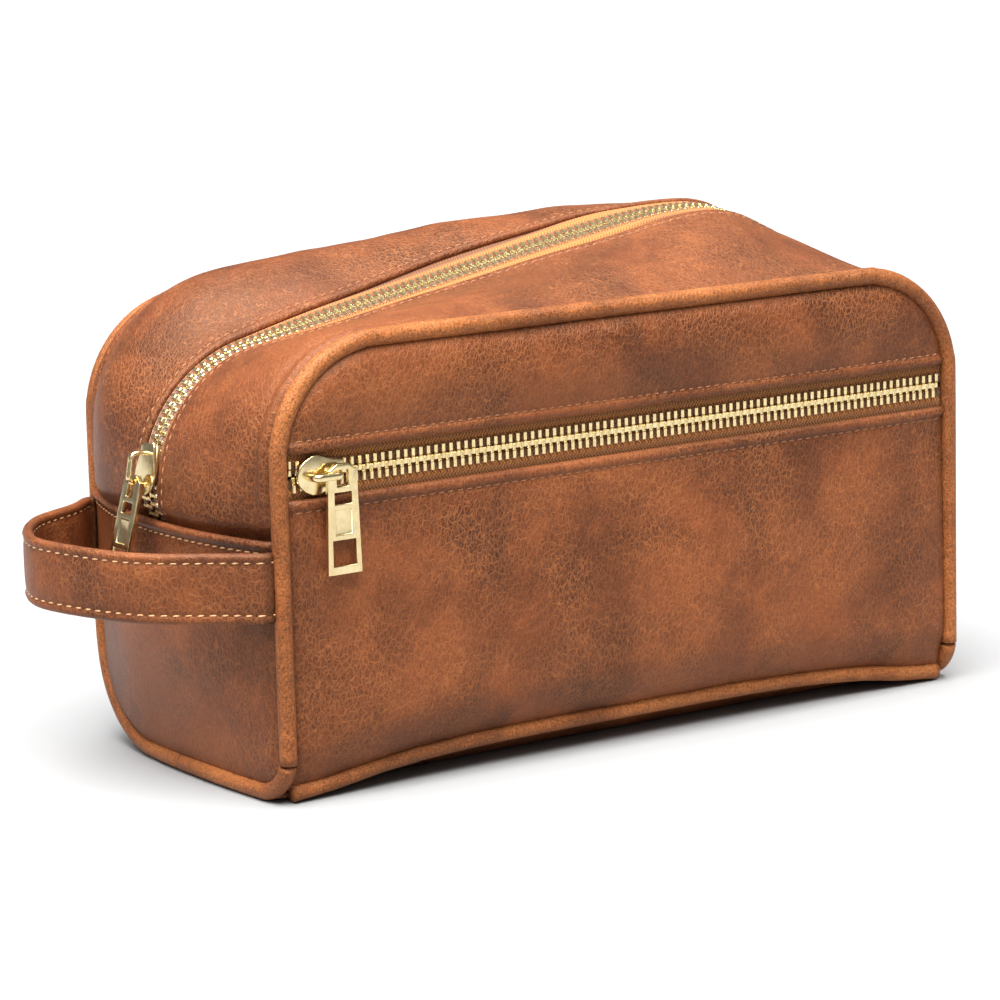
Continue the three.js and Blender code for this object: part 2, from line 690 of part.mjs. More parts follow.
// The knuckle divides the sewn ends from the loop: a cylinder along the line where the strap folds.
const knuckleX = -halfLength - HANDLE_PIVOT;
function knuckle(radius) {
  const cylinder = new THREE.CylinderGeometry(radius, radius, DEPTH * 1.2, 32);
  const behind = box(0, HANDLE_PIVOT * 2, -DEPTH * 0.6, DEPTH * 0.6, -HANDLE_WIDTH, HANDLE_WIDTH);
  return join(cylinder, behind).translate(knuckleX, 0, handleHeight);
}
const halfSpace = (side) => box(-400, 0, Math.min(0, side * 100), Math.max(0, side * 100), 0, 200);
const layerGap = TOUCH_GAP / 2;
const outerLayer = strapLayer(layerGap + HANDLE_LAYER, HANDLE_LAYER);
const innerLayer = strapLayer(-layerGap, HANDLE_LAYER);
add("handle_outer_strap", cut(outerLayer, knuckle(HANDLE_KNUCKLE + TOUCH_GAP)), leather);
add("handle_inner_strap", cut(innerLayer, knuckle(HANDLE_KNUCKLE + TOUCH_GAP)), leather);
const wholeStrap = strapLayer(layerGap + HANDLE_LAYER, 2 * (layerGap + HANDLE_LAYER));
const sewnEnds = toSolid(wholeStrap).intersect(toSolid(knuckle(HANDLE_KNUCKLE)));
for (const [name, side] of Object.entries(halves)) {
  add(`handle_sewn_end_${name}`, toGeometry(sewnEnds.intersect(toSolid(halfSpace(side)))), leather);
}

// ---------------------------------------------------------------- inside the bag

// The lining is a tub that follows the bag's side profile, open at the top.
function tubProfile(inset, top) {
  const outline = [
    new THREE.Vector2(backFace - inset, top),
    new THREE.Vector2(frontFace + inset + POCKET_DEPTH, top),
  ];
  const backRadius = backUnder - inset;
  outline.push(new THREE.Vector2(frontFace + inset + POCKET_DEPTH, inset + BOTTOM_LIFT + 2));
  outline.push(new THREE.Vector2(baseFlatFrom + 4, inset));
  outline.push(...arc(backFootY, inset + backRadius, backRadius, -90, 0, 8));
  return outline;
}
function tubSolid(inset, half, top) {
  const solid = prism(tubProfile(inset, top), -half, half);
  return solid.rotateX(Math.PI / 2).rotateZ(Math.PI / 2);
}
const liningInset = pipingLow + PIPING_RADIUS + LINING_CLEARANCE;
const liningHalf = halfLength - seamInset;
add(
  "lining",
  cut(
    tubSolid(liningInset, liningHalf, HEIGHT - LINING_DROP),
    tubSolid(liningInset + LINING, liningHalf - LINING, HEIGHT),
  ),
  liningCloth,
);

const boardHalf = liningHalf - BOARD_MARGIN;
const boardLow = LEATHER + TOUCH_GAP;
add(
  "base_board",
  box(-boardHalf, boardHalf, baseFlatFrom + 6, baseBack, boardLow, boardLow + BOARD),
  greyBoard,
);

const pocketLiningY = frontFace + POCKET_DEPTH;
add(
  "pocket_lining",
  box(
    -halfLength + POCKET_LINING_MARGIN,
    halfLength - POCKET_LINING_MARGIN,
    pocketLiningY - LINING,
    pocketLiningY,
    pipingLow + BOTTOM_LIFT + seamInset + 4,
    windowLow - TAPE_HIDDEN,
  ),
  liningCloth,
);

export default bag;
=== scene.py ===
# %% [markdown]
# # A leather shaving kit bag
#
# A shaving kit bag is a small soft box of leather: a front and a back that arch at the top, joined by a
# long gusset that runs up one end, over the top and down the other. A zip splits the gusset along its
# middle. The seams are piped, which means that a thin leather tube is sewn into them so that they keep
# their line.
#
# The frame holds the real sizes and says what moves. This script gives each plain solid its finished
# surface.

import json
import math

import bmesh
import bpy
import numpy as np
from mathutils import Matrix, Vector, noise


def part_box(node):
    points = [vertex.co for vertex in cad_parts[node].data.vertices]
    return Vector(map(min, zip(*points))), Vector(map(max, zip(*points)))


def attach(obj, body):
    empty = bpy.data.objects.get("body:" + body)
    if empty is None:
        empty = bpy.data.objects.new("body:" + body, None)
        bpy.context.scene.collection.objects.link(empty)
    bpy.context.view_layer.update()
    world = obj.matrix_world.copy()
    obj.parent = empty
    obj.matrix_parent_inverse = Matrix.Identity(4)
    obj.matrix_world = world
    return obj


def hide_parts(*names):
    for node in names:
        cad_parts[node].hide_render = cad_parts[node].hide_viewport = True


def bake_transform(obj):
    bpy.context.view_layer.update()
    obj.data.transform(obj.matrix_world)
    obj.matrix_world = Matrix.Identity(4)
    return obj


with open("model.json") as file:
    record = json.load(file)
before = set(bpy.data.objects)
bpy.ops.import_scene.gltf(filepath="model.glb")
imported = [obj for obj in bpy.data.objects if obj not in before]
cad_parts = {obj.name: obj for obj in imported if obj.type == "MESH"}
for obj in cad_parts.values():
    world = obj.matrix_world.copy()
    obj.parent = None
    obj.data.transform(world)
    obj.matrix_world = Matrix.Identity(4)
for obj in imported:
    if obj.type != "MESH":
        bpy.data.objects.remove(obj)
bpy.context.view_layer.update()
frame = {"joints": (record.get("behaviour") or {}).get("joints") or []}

# %% [markdown]
# ## Measures
#
# Leather work is measured in millimetres, and Blender works in metres. Shapes are laid out here in
# millimetres and made a thousandth of that size when their mesh is finished. The sizes are read off the
# frame's solids, so that what is modelled here sits where they are.

# %% Sizes read off the frame
MM = 0.001


def box_mm(node):
    low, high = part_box(node)
    return Vector(low) / MM, Vector(high) / MM


bottom_low, bottom_high = box_mm("piping_bottom_back")
PIPING = (bottom_high.z - bottom_low.z) / 2
front_low, front_high = box_mm("piping_front")
back_high = box_mm("piping_back")[1]
DEPTH = (back_high.y - front_low.y) / 2 - PIPING
HEIGHT = front_high.z - PIPING
END_BULGE = 11
LENGTH = front_high.x - PIPING - END_BULGE
FLOOR_GAP = bottom_low.z
TOP_CORNER = 36
FRONT_FOOT = 13
BACK_FOOT = 38
BOTTOM_LIFT = 7
LEATHER = 1.8
END_TOP = box_mm("end_panel_left")[1].z
tape_low, tape_high = box_mm("front_tape_upper")
TAPE_Y = (tape_low.y + tape_high.y) / 2
FRONT_ZIP = (box_mm("front_teeth_upper")[0].z + box_mm("front_teeth_lower_mouth")[1].z) / 2
WINDOW = 7
FRONT_FACE = -(DEPTH + LEATHER - 0.2)
print(f"half length {LENGTH:.1f}, half depth {DEPTH:.1f}, arch {HEIGHT:.1f}, piping radius {PIPING:.1f} mm")


# %% [markdown]
# ## Lines
#
# Every panel of the bag hangs between two lines, such as a seam and a zip. A line is kept as points with
# the distance along it, so that any place on it can be asked for by its share of the length.

# %% Lines and small helpers
def mix(a, b, t):
    return a + (b - a) * t


def smooth(t):
    t = min(1.0, max(0.0, t))
    return t * t * (3 - 2 * t)


def arc(cx, cz, radius, start, stop, count):
    turns = [math.radians(mix(start, stop, i / count)) for i in range(count + 1)]
    return [Vector((cx + radius * math.cos(t), 0, cz + radius * math.sin(t))) for t in turns]


def through(points, count):
    """A smooth curve through points, with count steps between each two."""
    ends = [points[0] * 2 - points[1], *points, points[-1] * 2 - points[-2]]
    curve = []
    for a, b, c, d in zip(ends, ends[1:], ends[2:], ends[3:]):
        for i in range(count):
            t = i / count
            curve.append(0.5 * (2 * b + (c - a) * t + (2 * a - 5 * b + 4 * c - d) * t**2
                                + (3 * b - a - 3 * c + d) * t**3))
    return curve + [points[-1]]


class Line:
    def __init__(self, points):
        self.points = np.array([tuple(p) for p in points])
        steps = np.linalg.norm(np.diff(self.points, axis=0), axis=1)
        self.along = np.concatenate([[0], np.cumsum(steps)])
        self.length = float(self.along[-1])

    def at(self, distance):
        return Vector([np.interp(distance, self.along, self.points[:, k]) for k in range(3)])

    def heading(self, distance, reach=1.5):
        return (self.at(distance + reach) - self.at(distance - reach)).normalized()

    def where(self, x):
        """The distance at which the line passes x."""
        return float(np.interp(x, self.points[:, 0], self.along))


# %% [markdown]
# ## The bag's own lines
#
# The ends of the bag bow out, the feet are rounded, and the underside lifts a little along the front. The
# main zip starts low on the left end, turns round the corner, climbs to a crest right of the middle and
# drops down the right end. It isn't straight: it is what makes the top look like soft leather instead of
# a box.

# %% Seam and zip lines
ARCH_Z = HEIGHT - TOP_CORNER
FRONT_FOOT_Y = -DEPTH + FRONT_FOOT
BACK_FOOT_Y = DEPTH - BACK_FOOT
PIPING_LOW = PIPING + FLOOR_GAP
ZIP_CORNER = 44
ZIP_CORNER_Z = 90
ZIP_X = LENGTH + END_BULGE + 0.5
ZIP_CENTRE_X = ZIP_X - ZIP_CORNER
ZIP_RISE = 10.8
CREST = Vector((55, 0, 161.5))
SHOULDER = Vector((92, 0, 152.5))
MOUTH = 88
FOOT_Z = 62


def end_bow(y, z):
    """How far an end bows out: less at its foot, where the base holds it in."""
    return END_BULGE * (1 - (y / DEPTH) ** 2) * mix(0.4, 1.0, smooth(z / 45))


def half_width(z, inset):
    radius = TOP_CORNER - inset
    above = min(max(0, z - ARCH_Z), radius)
    return LENGTH - TOP_CORNER + math.sqrt(radius**2 - above**2)


def bottom_lift(x):
    return BOTTOM_LIFT * max(0, 1 - (x / (LENGTH - 11)) ** 4)


turn = arc(-ZIP_CENTRE_X, ZIP_CORNER_Z, ZIP_CORNER, 180, 90 + ZIP_RISE, 40)
climb = turn[-1].lerp(CREST, 0.42)
climb.x = -MOUTH / 2
right_turn = arc(ZIP_CENTRE_X, ZIP_CORNER_Z, ZIP_CORNER, 46, 0, 3)
over = through([turn[-5], turn[-1], climb, CREST, SHOULDER, *right_turn], 24)
over = [p for p in over if p.x > turn[-1].x + 0.5]
zip_line = Line([Vector((-ZIP_X, 0, FOOT_Z)), *turn, *over, Vector((ZIP_X, 0, FOOT_Z))])
seam_line = Line([
    Vector((-LENGTH, 0, FOOT_Z)),
    *arc(-LENGTH + TOP_CORNER, ARCH_Z, TOP_CORNER, 180, 90, 30),
    *arc(LENGTH - TOP_CORNER, ARCH_Z, TOP_CORNER, 90, 0, 30),
    Vector((LENGTH, 0, FOOT_Z)),
])

# Which place on the zip faces which place on the seam, smoothed so that the leather between them has no
# crease.
key_seam = [0, seam_line.where(-MOUTH), seam_line.where(0), seam_line.where(MOUTH), seam_line.length]
key_zip = [0, zip_line.where(-MOUTH), zip_line.where(0), zip_line.where(MOUTH), zip_line.length]
fine = np.linspace(0, 1, 401)
facing = np.interp(fine * seam_line.length, key_seam, key_zip)
for _ in range(60):
    facing[1:-1] = (facing[:-2] + facing[1:-1] * 2 + facing[2:]) / 4


def zip_distance(share):
    return float(np.interp(share, fine, facing))


def outwards(line, distance):
    heading = line.heading(distance)
    return Vector((-heading.z, 0, heading.x))


print(f"zip {zip_line.length:.0f} mm long, seam {seam_line.length:.0f} mm long")

# %% [markdown]
# ## Finishes
#
# Each finish is a small tree of nodes. The leather has three scales: slow dark and light patches from the
# dye, a web of fine creases where the surface is lighter, and a pebble so small that it only breaks up
# the shine. All of them read Object coordinates, so neighbouring panels look cut from one hide. A panel's
# mesh also carries an attribute that is 1 at its sewn edges and 0 in the open, and darkens and dulls
# the leather there: this is painted shade, standing in for the shadow in the creases beside the seams.


# %% Node helpers
class Finish:
    def __init__(self, name):
        self.material = bpy.data.materials.new(name)
        self.material.use_nodes = True
        self.nodes = self.material.node_tree.nodes
        self.links = self.material.node_tree.links
        self.shader = self.nodes["Principled BSDF"]

    def node(self, kind, inputs=None, **settings):
        made = self.nodes.new(kind)
        for name, value in settings.items():
            setattr(made, name, value)
        for name, value in (inputs or {}).items():
            self.set(made, name, value)
        return made

    def set(self, node, name, value):
        if isinstance(value, bpy.types.NodeSocket):
            self.links.new(value, node.inputs[name])
        else:
            node.inputs[name].default_value = value

    def math(self, operation, a, b=0.0, clamp=False):
        made = self.node("ShaderNodeMath", {0: a, 1: b}, operation=operation, use_clamp=clamp)
        return made.outputs[0]

    def noise(self, where, scale, detail=3.0, rough=0.5, distortion=0.0):
        made = self.node("ShaderNodeTexNoise", {
            "Vector": where, "Scale": scale, "Detail": detail, "Roughness": rough, "Distortion": distortion,
        })
        return made.outputs["Fac"]

    def ramp(self, value, *stops):
        made = self.node("ShaderNodeValToRGB", {"Fac": value})
        elements = made.color_ramp.elements
        while len(elements) < len(stops):
            elements.new(0.5)
        for element, (position, colour) in zip(elements, stops):
            element.position = position
            element.color = (*colour, 1) if len(colour) == 3 else colour
        return made.outputs["Color"]

    def grey(self, value, *stops):
        return self.ramp(value, *[(position, (level, level, level)) for position, level in stops])

    def blend(self, amount, a, b, how="MIX"):
        made = self.node("ShaderNodeMix", data_type="RGBA", blend_type=how)
        self.set(made, 0, amount)
        self.set(made, 6, a)
        self.set(made, 7, b)
        return made.outputs[2]

    def bump(self, height, strength, distance, under=None):
        inputs = {"Height": height, "Strength": strength, "Distance": distance}
        if under is not None:
            inputs["Normal"] = under
        return self.node("ShaderNodeBump", inputs).outputs["Normal"]


# %% [markdown]
# The crease web is two layers of Voronoi cells. The distance to a cell's edge is small along the creases,
# and stretching the lookup and nudging it with noise makes the cells long and uneven, as they are on a
# soft hide.


# %% Leather
def make_leather(name, dark, middle, light, crease, grain, web_strength, speck_low):
    f = Finish(name)
    place = f.node("ShaderNodeTexCoord").outputs["Object"]
    seam_shade = f.node("ShaderNodeAttribute", attribute_name="seam_shade").outputs["Fac"]
    push = f.node("ShaderNodeTexNoise", {"Vector": place, "Scale": 260.0, "Detail": 2.0}).outputs["Color"]
    pushed = f.node("ShaderNodeVectorMath", {0: push, 1: (0.5, 0.5, 0.5)}, operation="SUBTRACT").outputs[0]
    pushed = f.node("ShaderNodeVectorMath", {0: pushed, 3: 0.0022}, operation="SCALE").outputs[0]
    pushed = f.node("ShaderNodeVectorMath", {0: place, 1: pushed}, operation="ADD").outputs[0]
    turned = f.node("ShaderNodeMapping", {
        "Vector": pushed, "Rotation": (0.45, -0.75, 0.3), "Scale": (1.25, 1.1, 0.62),
    }).outputs[0]
    webs = []
    for scale, width in ((grain, 0.10), (grain * 1.9, 0.13)):
        cells = f.node("ShaderNodeTexVoronoi", {"Vector": turned, "Scale": scale, "Randomness": 1.0},
                       feature="DISTANCE_TO_EDGE").outputs["Distance"]
        webs.append(f.grey(cells, (0.0, 1.0), (width * 0.40, 0.62), (width, 0.0)))
    patches = f.noise(place, 19.0, 3.0, 0.55, 0.5)
    cloud = f.noise(place, 60.0, 4.0, 0.6, 0.8)
    fibres = f.noise(turned, 900.0, 3.0, 0.6)
    pores = f.noise(place, 1500.0, 2.0, 0.6)
    tone = f.math("ADD", f.math("MULTIPLY", patches, 0.66), f.math("MULTIPLY", cloud, 0.34))
    dye = f.ramp(tone, (0.40, dark), (0.50, middle), (0.60, light))
    speck = f.grey(pores, (0.32, speck_low), (0.62, 1.08))
    dye = f.blend(1.0, dye, speck, "MULTIPLY")
    dye = f.blend(1.0, dye, f.grey(fibres, (0.34, 0.80), (0.66, 1.16)), "MULTIPLY")
    patchy = f.grey(f.noise(place, 42.0, 2.0, 0.5), (0.34, 0.40), (0.60, 1.0))
    web = f.math("MAXIMUM", webs[0], f.math("MULTIPLY", webs[1], 0.60))
    shown = f.math("MULTIPLY", f.math("MULTIPLY", web, patchy), web_strength)
    colour = f.blend(shown, dye, (*crease, 1))
    # Painted shade: the leather is darkened along its seams, standing in for the shadow in the creases beside
    # the piping.
    shade = f.grey(seam_shade, (0.0, 1.0), (0.35, 0.90), (1.0, 0.34))
    colour = f.blend(1.0, colour, shade, "MULTIPLY")
    f.set(f.shader, "Base Color", colour)
    rough = f.math("ADD", f.math("MULTIPLY", pores, 0.14), f.math("MULTIPLY", patches, 0.20))
    rough = f.math("ADD", rough, f.math("MULTIPLY", web, 0.10))
    f.set(f.shader, "Roughness", f.math("ADD", rough, 0.27))
    f.set(f.shader, "Specular IOR Level", 0.50)
    f.set(f.shader, "Specular Tint", (1.0, 0.64, 0.42, 1))
    f.set(f.shader, "Coat Weight", 0.04)
    f.set(f.shader, "Coat Roughness", 0.30)
    fine_bump = f.bump(pores, 0.35, 0.00012)
    web_bump = f.bump(f.math("SUBTRACT", 1.0, web), 0.50, 0.00022, fine_bump)
    soft_bump = f.bump(f.noise(place, 130.0, 3.0, 0.55), 0.35, 0.0012, web_bump)
    f.set(f.shader, "Normal", soft_bump)
    return f.material


leather = make_leather(
    "cognac_leather", (0.055, 0.0130, 0.0048), (0.108, 0.0265, 0.0086), (0.180, 0.0470, 0.0145),
    crease=(0.34, 0.115, 0.036), grain=560.0, web_strength=0.66, speck_low=0.78,
)
piping_leather = make_leather(
    "piping_leather", (0.180, 0.047, 0.013), (0.290, 0.083, 0.021), (0.400, 0.125, 0.033),
    crease=(0.62, 0.25, 0.08), grain=800.0, web_strength=0.30, speck_low=0.30,
)
print("leathers:", leather.name, piping_leather.name)


# %% [markdown]
# A zip tape is woven in a herringbone. Its mesh has a UV map in millimetres, along and across the tape,
# so the weave follows every bend. Folding the across direction with a ping-pong turns one diagonal rib
# into chevrons.

# %% Zip tape, lining and thread
def make_tape(name, base, deep):
    f = Finish(name)
    uv = f.node("ShaderNodeUVMap", uv_map="weave").outputs[0]
    parts = f.node("ShaderNodeSeparateXYZ", {0: uv})
    along, across = parts.outputs[0], parts.outputs[1]
    folded = f.math("PINGPONG", across, 1.3)
    rib = f.math("SINE", f.math("MULTIPLY", f.math("ADD", along, f.math("MULTIPLY", folded, 0.9)), 5.2))
    wale = f.math("SINE", f.math("MULTIPLY", across, 11.5))
    weave = f.math("ADD", f.math("MULTIPLY", rib, 0.42), f.math("MULTIPLY", wale, 0.10))
    weave = f.math("ADD", weave, 0.5)
    fluff = f.noise(f.node("ShaderNodeTexCoord").outputs["Object"], 900.0, 2.0)
    tone = f.math("ADD", f.math("MULTIPLY", weave, 0.82), f.math("MULTIPLY", fluff, 0.18))
    seam_shade = f.node("ShaderNodeAttribute", attribute_name="seam_shade").outputs["Fac"]
    cloth = f.ramp(tone, (0.20, deep), (0.66, base))
    # Painted shade: the tape is darkened under the leather's folded edge and between the teeth, where shadow
    # falls.
    f.set(f.shader, "Base Color", f.blend(1.0, cloth, f.grey(seam_shade, (0.0, 1.0), (1.0, 0.12)), "MULTIPLY"))
    f.set(f.shader, "Roughness", 0.78)
    f.set(f.shader, "Sheen Weight", 0.35)
    f.set(f.shader, "Sheen Roughness", 0.4)
    f.set(f.shader, "Normal", f.bump(weave, 0.8, 0.0003))
    return f.material


def make_lining():
    f = Finish("lining_cloth")
    place = f.node("ShaderNodeTexCoord").outputs["Object"]
    threads = []
    for direction in "XYZ":
        wave = f.node("ShaderNodeTexWave", {"Vector": place, "Scale": 480.0, "Distortion": 0.5},
                      bands_direction=direction)
        threads.append(wave.outputs["Fac"])
    weave = f.math("MULTIPLY", f.math("ADD", f.math("ADD", threads[0], threads[1]), threads[2]), 0.333)
    f.set(f.shader, "Base Color", f.ramp(weave, (0.2, (0.045, 0.026, 0.016)), (0.8, (0.110, 0.066, 0.040))))
    f.set(f.shader, "Roughness", 0.8)
    f.set(f.shader, "Sheen Weight", 0.3)
    f.set(f.shader, "Normal", f.bump(weave, 0.4, 0.0002))
    return f.material


def make_thread(name, deep, bright):
    f = Finish(name)
    place = f.node("ShaderNodeTexCoord").outputs["Object"]
    twist = f.node("ShaderNodeTexWave", {"Vector": place, "Scale": 900.0, "Distortion": 1.0},
                   bands_direction="DIAGONAL").outputs["Fac"]
    f.set(f.shader, "Base Color", f.ramp(twist, (0.1, deep), (0.8, bright)))
    f.set(f.shader, "Roughness", 0.55)
    f.set(f.shader, "Sheen Weight", 0.2)
    f.set(f.shader, "Normal", f.bump(twist, 0.5, 0.0001))
    return f.material


main_tape_cloth = make_tape("main_tape_cloth", (0.60, 0.200, 0.030), (0.27, 0.075, 0.010))
front_tape_cloth = make_tape("front_tape_cloth", (0.46, 0.165, 0.026), (0.18, 0.054, 0.010))
lining_cloth = make_lining()
light_thread = make_thread("light_waxed_thread", (0.42, 0.19, 0.07), (0.72, 0.40, 0.18))
toned_thread = make_thread("toned_waxed_thread", (0.20, 0.070, 0.022), (0.38, 0.150, 0.050))


# %% [markdown]
# The metal is a pale gold plating on zinc. Plating is smooth but never a perfect mirror: it has a faint
# ripple and fine rub marks that only show in its shine.

# %% Gold plating and board
def make_gold(name, bright, deep, rough):
    f = Finish(name)
    place = f.node("ShaderNodeTexCoord").outputs["Object"]
    ripple = f.noise(place, 420.0, 2.0)
    stretched = f.node("ShaderNodeMapping", {"Vector": place, "Scale": (1.0, 1.0, 0.08)}).outputs[0]
    rubs = f.noise(stretched, 5200.0, 2.0)
    tone = f.math("ADD", f.math("MULTIPLY", ripple, 0.6), f.math("MULTIPLY", rubs, 0.4))
    f.set(f.shader, "Base Color", f.ramp(tone, (0.30, deep), (0.62, bright)))
    f.set(f.shader, "Metallic", 1.0)
    f.set(f.shader, "Roughness", f.math("ADD", f.math("MULTIPLY", rubs, 0.14), rough))
    f.set(f.shader, "Normal", f.bump(tone, 0.10, 0.0001))
    return f.material


def make_board():
    f = Finish("stiffener_board")
    flecks = f.noise(f.node("ShaderNodeTexCoord").outputs["Object"], 420.0, 4.0)
    f.set(f.shader, "Base Color", f.ramp(flecks, (0.35, (0.16, 0.14, 0.11)), (0.7, (0.34, 0.31, 0.27))))
    f.set(f.shader, "Roughness", 0.85)
    f.set(f.shader, "Normal", f.bump(flecks, 0.3, 0.0003))
    return f.material


gold = make_gold("pale_gold_plating", (0.86, 0.72, 0.42), (0.70, 0.53, 0.27), 0.13)
tooth_gold = make_gold("zip_tooth_gold", (0.94, 0.78, 0.44), (0.76, 0.56, 0.27), 0.20)
board = make_board()
print("finishes:", [m.name for m in bpy.data.materials if m.use_nodes])

# %% [markdown]
# ## Making a piece
#
# A leather panel starts as a flat grid, as it does on the cutting table. Each grid point is then moved to
# its place on the bag, and Solidify gives the sheet its thickness. The inside gets the lining's finish. A
# panel that crosses a part of the bag that opens is cut in two at the bag's middle, because a piece can
# only bend between two bodies.


# %% Building and cutting pieces
def to_object(mesh_bmesh, name, *materials, shade=True):
    mesh = bpy.data.meshes.new(name)
    mesh_bmesh.to_mesh(mesh)
    mesh_bmesh.free()
    mesh.transform(Matrix.Scale(MM, 4))
    piece = bpy.data.objects.new(name, mesh)
    bpy.context.scene.collection.objects.link(piece)
    for material in materials:
        mesh.materials.append(material)
    if shade:
        mesh.shade_smooth()
    return piece


def apply_modifiers(piece):
    bpy.context.view_layer.update()
    evaluated = piece.evaluated_get(bpy.context.evaluated_depsgraph_get())
    finished = bpy.data.meshes.new_from_object(evaluated, preserve_all_data_layers=True,
                                               depsgraph=bpy.context.evaluated_depsgraph_get())
    piece.modifiers.clear()
    piece.data = finished
    return piece


def make_sheet(name, surface, columns, rows, thickness, *materials, uv=False):
    """surface(u, v) gives a place in mm and how sewn down it is there, from 0 to 1; that second value is also
    painted on the leather as shade along the seams. du x dv points out.
    """
    grid = bmesh.new()
    bmesh.ops.create_grid(grid, x_segments=columns, y_segments=rows, size=0.5)
    seam_shade = grid.verts.layers.float.new("seam_shade")
    places = {}
    for vert in grid.verts:
        u, v = vert.co.x + 0.5, vert.co.y + 0.5
        places[vert] = (u, v)
        vert.co, vert[seam_shade] = surface(u, v)
    if uv:
        layer = grid.loops.layers.uv.new("weave")
        for face in grid.faces:
            for loop in face.loops:
                u, v = places[loop.vert]
                loop[layer].uv = (u * uv[0], v * uv[1])
    piece = to_object(grid, name, *materials)
    if thickness:
        wall = piece.modifiers.new("thickness", "SOLIDIFY")
        wall.thickness = thickness * MM
        wall.offset = -1
        wall.use_even_offset = False
        wall.material_offset = 1 if len(materials) > 1 else 0
        apply_modifiers(piece)
    return piece


def cut_at_middle(piece, low_name, high_name):
    """Cuts a piece across x = 0 and closes both cuts."""
    halves = []
    for name, side in ((low_name, -1), (high_name, 1)):
        cut = bmesh.new()
        cut.from_mesh(piece.data)
        bmesh.ops.bisect_plane(cut, geom=cut.verts[:] + cut.edges[:] + cut.faces[:], dist=1e-7,
                               plane_co=(0, 0, 0), plane_no=(-side, 0, 0), clear_outer=True)
        rims = [e for e in cut.edges if e.is_boundary]
        bmesh.ops.holes_fill(cut, edges=rims, sides=0)
        for edge in rims:
            edge.smooth = False
        mesh = bpy.data.meshes.new(name)
        cut.to_mesh(mesh)
        cut.free()
        for material in piece.data.materials:
            mesh.materials.append(material)
        mesh.shade_smooth()
        half = bpy.data.objects.new(name, mesh)
        bpy.context.scene.collection.objects.link(half)
        halves.append(half)
    bpy.data.objects.remove(piece)
    return halves


def open_with(halves):
    """Bakes each half's place into its mesh."""
    for half, side in zip(halves, (-1, 1)):
        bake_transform(half)


def wander(x, z, size, wavelength, seed=0.0):
    """A slow, repeatable unevenness of up to about size."""
    return size * noise.noise(Vector((x / wavelength, z / wavelength, seed)))


# %% [markdown]
# ## Piping and strap: one section, swept
#
# Piping is a strip of leather folded round a cord. It is a tube, so it is made by carrying a ring along a
# line. The same sweep makes the hand strap, whose section is a flat rounded bar.


# %% Sweeping a section along a line
def frames_along(line, steps, first_out):
    """Place, heading and out at each step. Each out is the last one, turned as little as possible."""
    frames = []
    out = first_out
    for i in range(steps + 1):
        distance = line.length * i / steps
        heading = line.heading(distance)
        out = (out - heading * out.dot(heading)).normalized()
        frames.append((line.at(distance), heading, out))
    return frames


def sweep(name, line, section, steps, first_out, *materials, shade_at=None):
    """section is points (out, across) that go round the line."""
    frames = frames_along(line, steps, first_out)
    ring = len(section)
    grid = bmesh.new()
    bmesh.ops.create_grid(grid, x_segments=steps, y_segments=ring, size=0.5)
    seam_shade = grid.verts.layers.float.new("seam_shade")
    for vert in grid.verts:
        i = round((vert.co.x + 0.5) * steps)
        a, b = section[round((vert.co.y + 0.5) * ring) % ring]
        place, heading, out = frames[i]
        vert.co = place + out * a + heading.cross(out) * b
        # The attribute is painted shade, darkening the leather where it is high.
        vert[seam_shade] = shade_at(line.length * i / steps, a, b) if shade_at else 0
    bmesh.ops.remove_doubles(grid, verts=grid.verts, dist=1e-3)
    bmesh.ops.holes_fill(grid, edges=[e for e in grid.edges if e.is_boundary], sides=0)
    bmesh.ops.recalc_face_normals(grid, faces=grid.faces)
    return to_object(grid, name, *materials)


def ring_section(radius, sides):
    turns = [2 * math.pi * k / sides for k in range(sides)]
    return [(radius * math.cos(t), radius * math.sin(t)) for t in turns]


# %% Piping
def side_piping_line(side):
    foot_y, foot = (FRONT_FOOT_Y, FRONT_FOOT) if side < 0 else (BACK_FOOT_Y, BACK_FOOT)
    points = [Vector((-LENGTH - end_bow(y, PIPING_LOW), y, PIPING_LOW)) for y in (side * 0.2, foot_y * 0.5)]
    for p in arc(0, 0, foot, -90, 0, 10):
        y, z = foot_y + side * p.x, PIPING_LOW + foot + p.z
        points.append(Vector((-LENGTH - end_bow(y, z), y, z)))
    points.append(Vector((-LENGTH, side * DEPTH, mix(PIPING_LOW + foot, ARCH_Z, 0.5))))
    for p in arc(-LENGTH + TOP_CORNER, ARCH_Z, TOP_CORNER, 180, 90, 10):
        points.append(Vector((p.x, side * DEPTH, p.z)))
    mirrored = [Vector((-p.x, p.y, p.z)) for p in reversed(points)]
    middle = [Vector((x, side * DEPTH, HEIGHT)) for x in (-40, 0, 40)]
    return Line(through(points + middle + mirrored, 6))


def bottom_piping_line(y, lifted):
    end = LENGTH - PIPING
    places = [mix(-end, end, i / 16) for i in range(17)]
    return Line([Vector((x, y, PIPING_LOW + (bottom_lift(x) if lifted else 0))) for x in places])


FRONT_BOTTOM_Y = -DEPTH + FRONT_FOOT * 0.3
piping_lines = {
    "front": side_piping_line(-1),
    "back": side_piping_line(1),
    "bottom_front": bottom_piping_line(FRONT_BOTTOM_Y, True),
    "bottom_back": bottom_piping_line(BACK_FOOT_Y, False),
}
for where, line in piping_lines.items():
    start = Vector((0, 0, 1))
    steps = int(line.length / 2.2)
    tube = sweep(f"piped_seam_{where}", line, ring_section(PIPING, 16), steps, start, piping_leather)
    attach(tube, "bag")
    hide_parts(f"piping_{where}")
    print(tube.name, f"{line.length:.0f} mm")


# %% [markdown]
# ## Folded edges
#
# Where leather meets a zip its edge is turned under and stitched, so the edge is twice as thick, puffs up
# a little between the fold and the stitches, and dips where the thread pulls it down. That outline is
# drawn once, as a line of its own: how far in from the edge against how far out of the panel.

# %% Edge outlines
def edge_outline(*points):
    return Line(through([Vector((into, 0, out)) for into, out in points], 6))


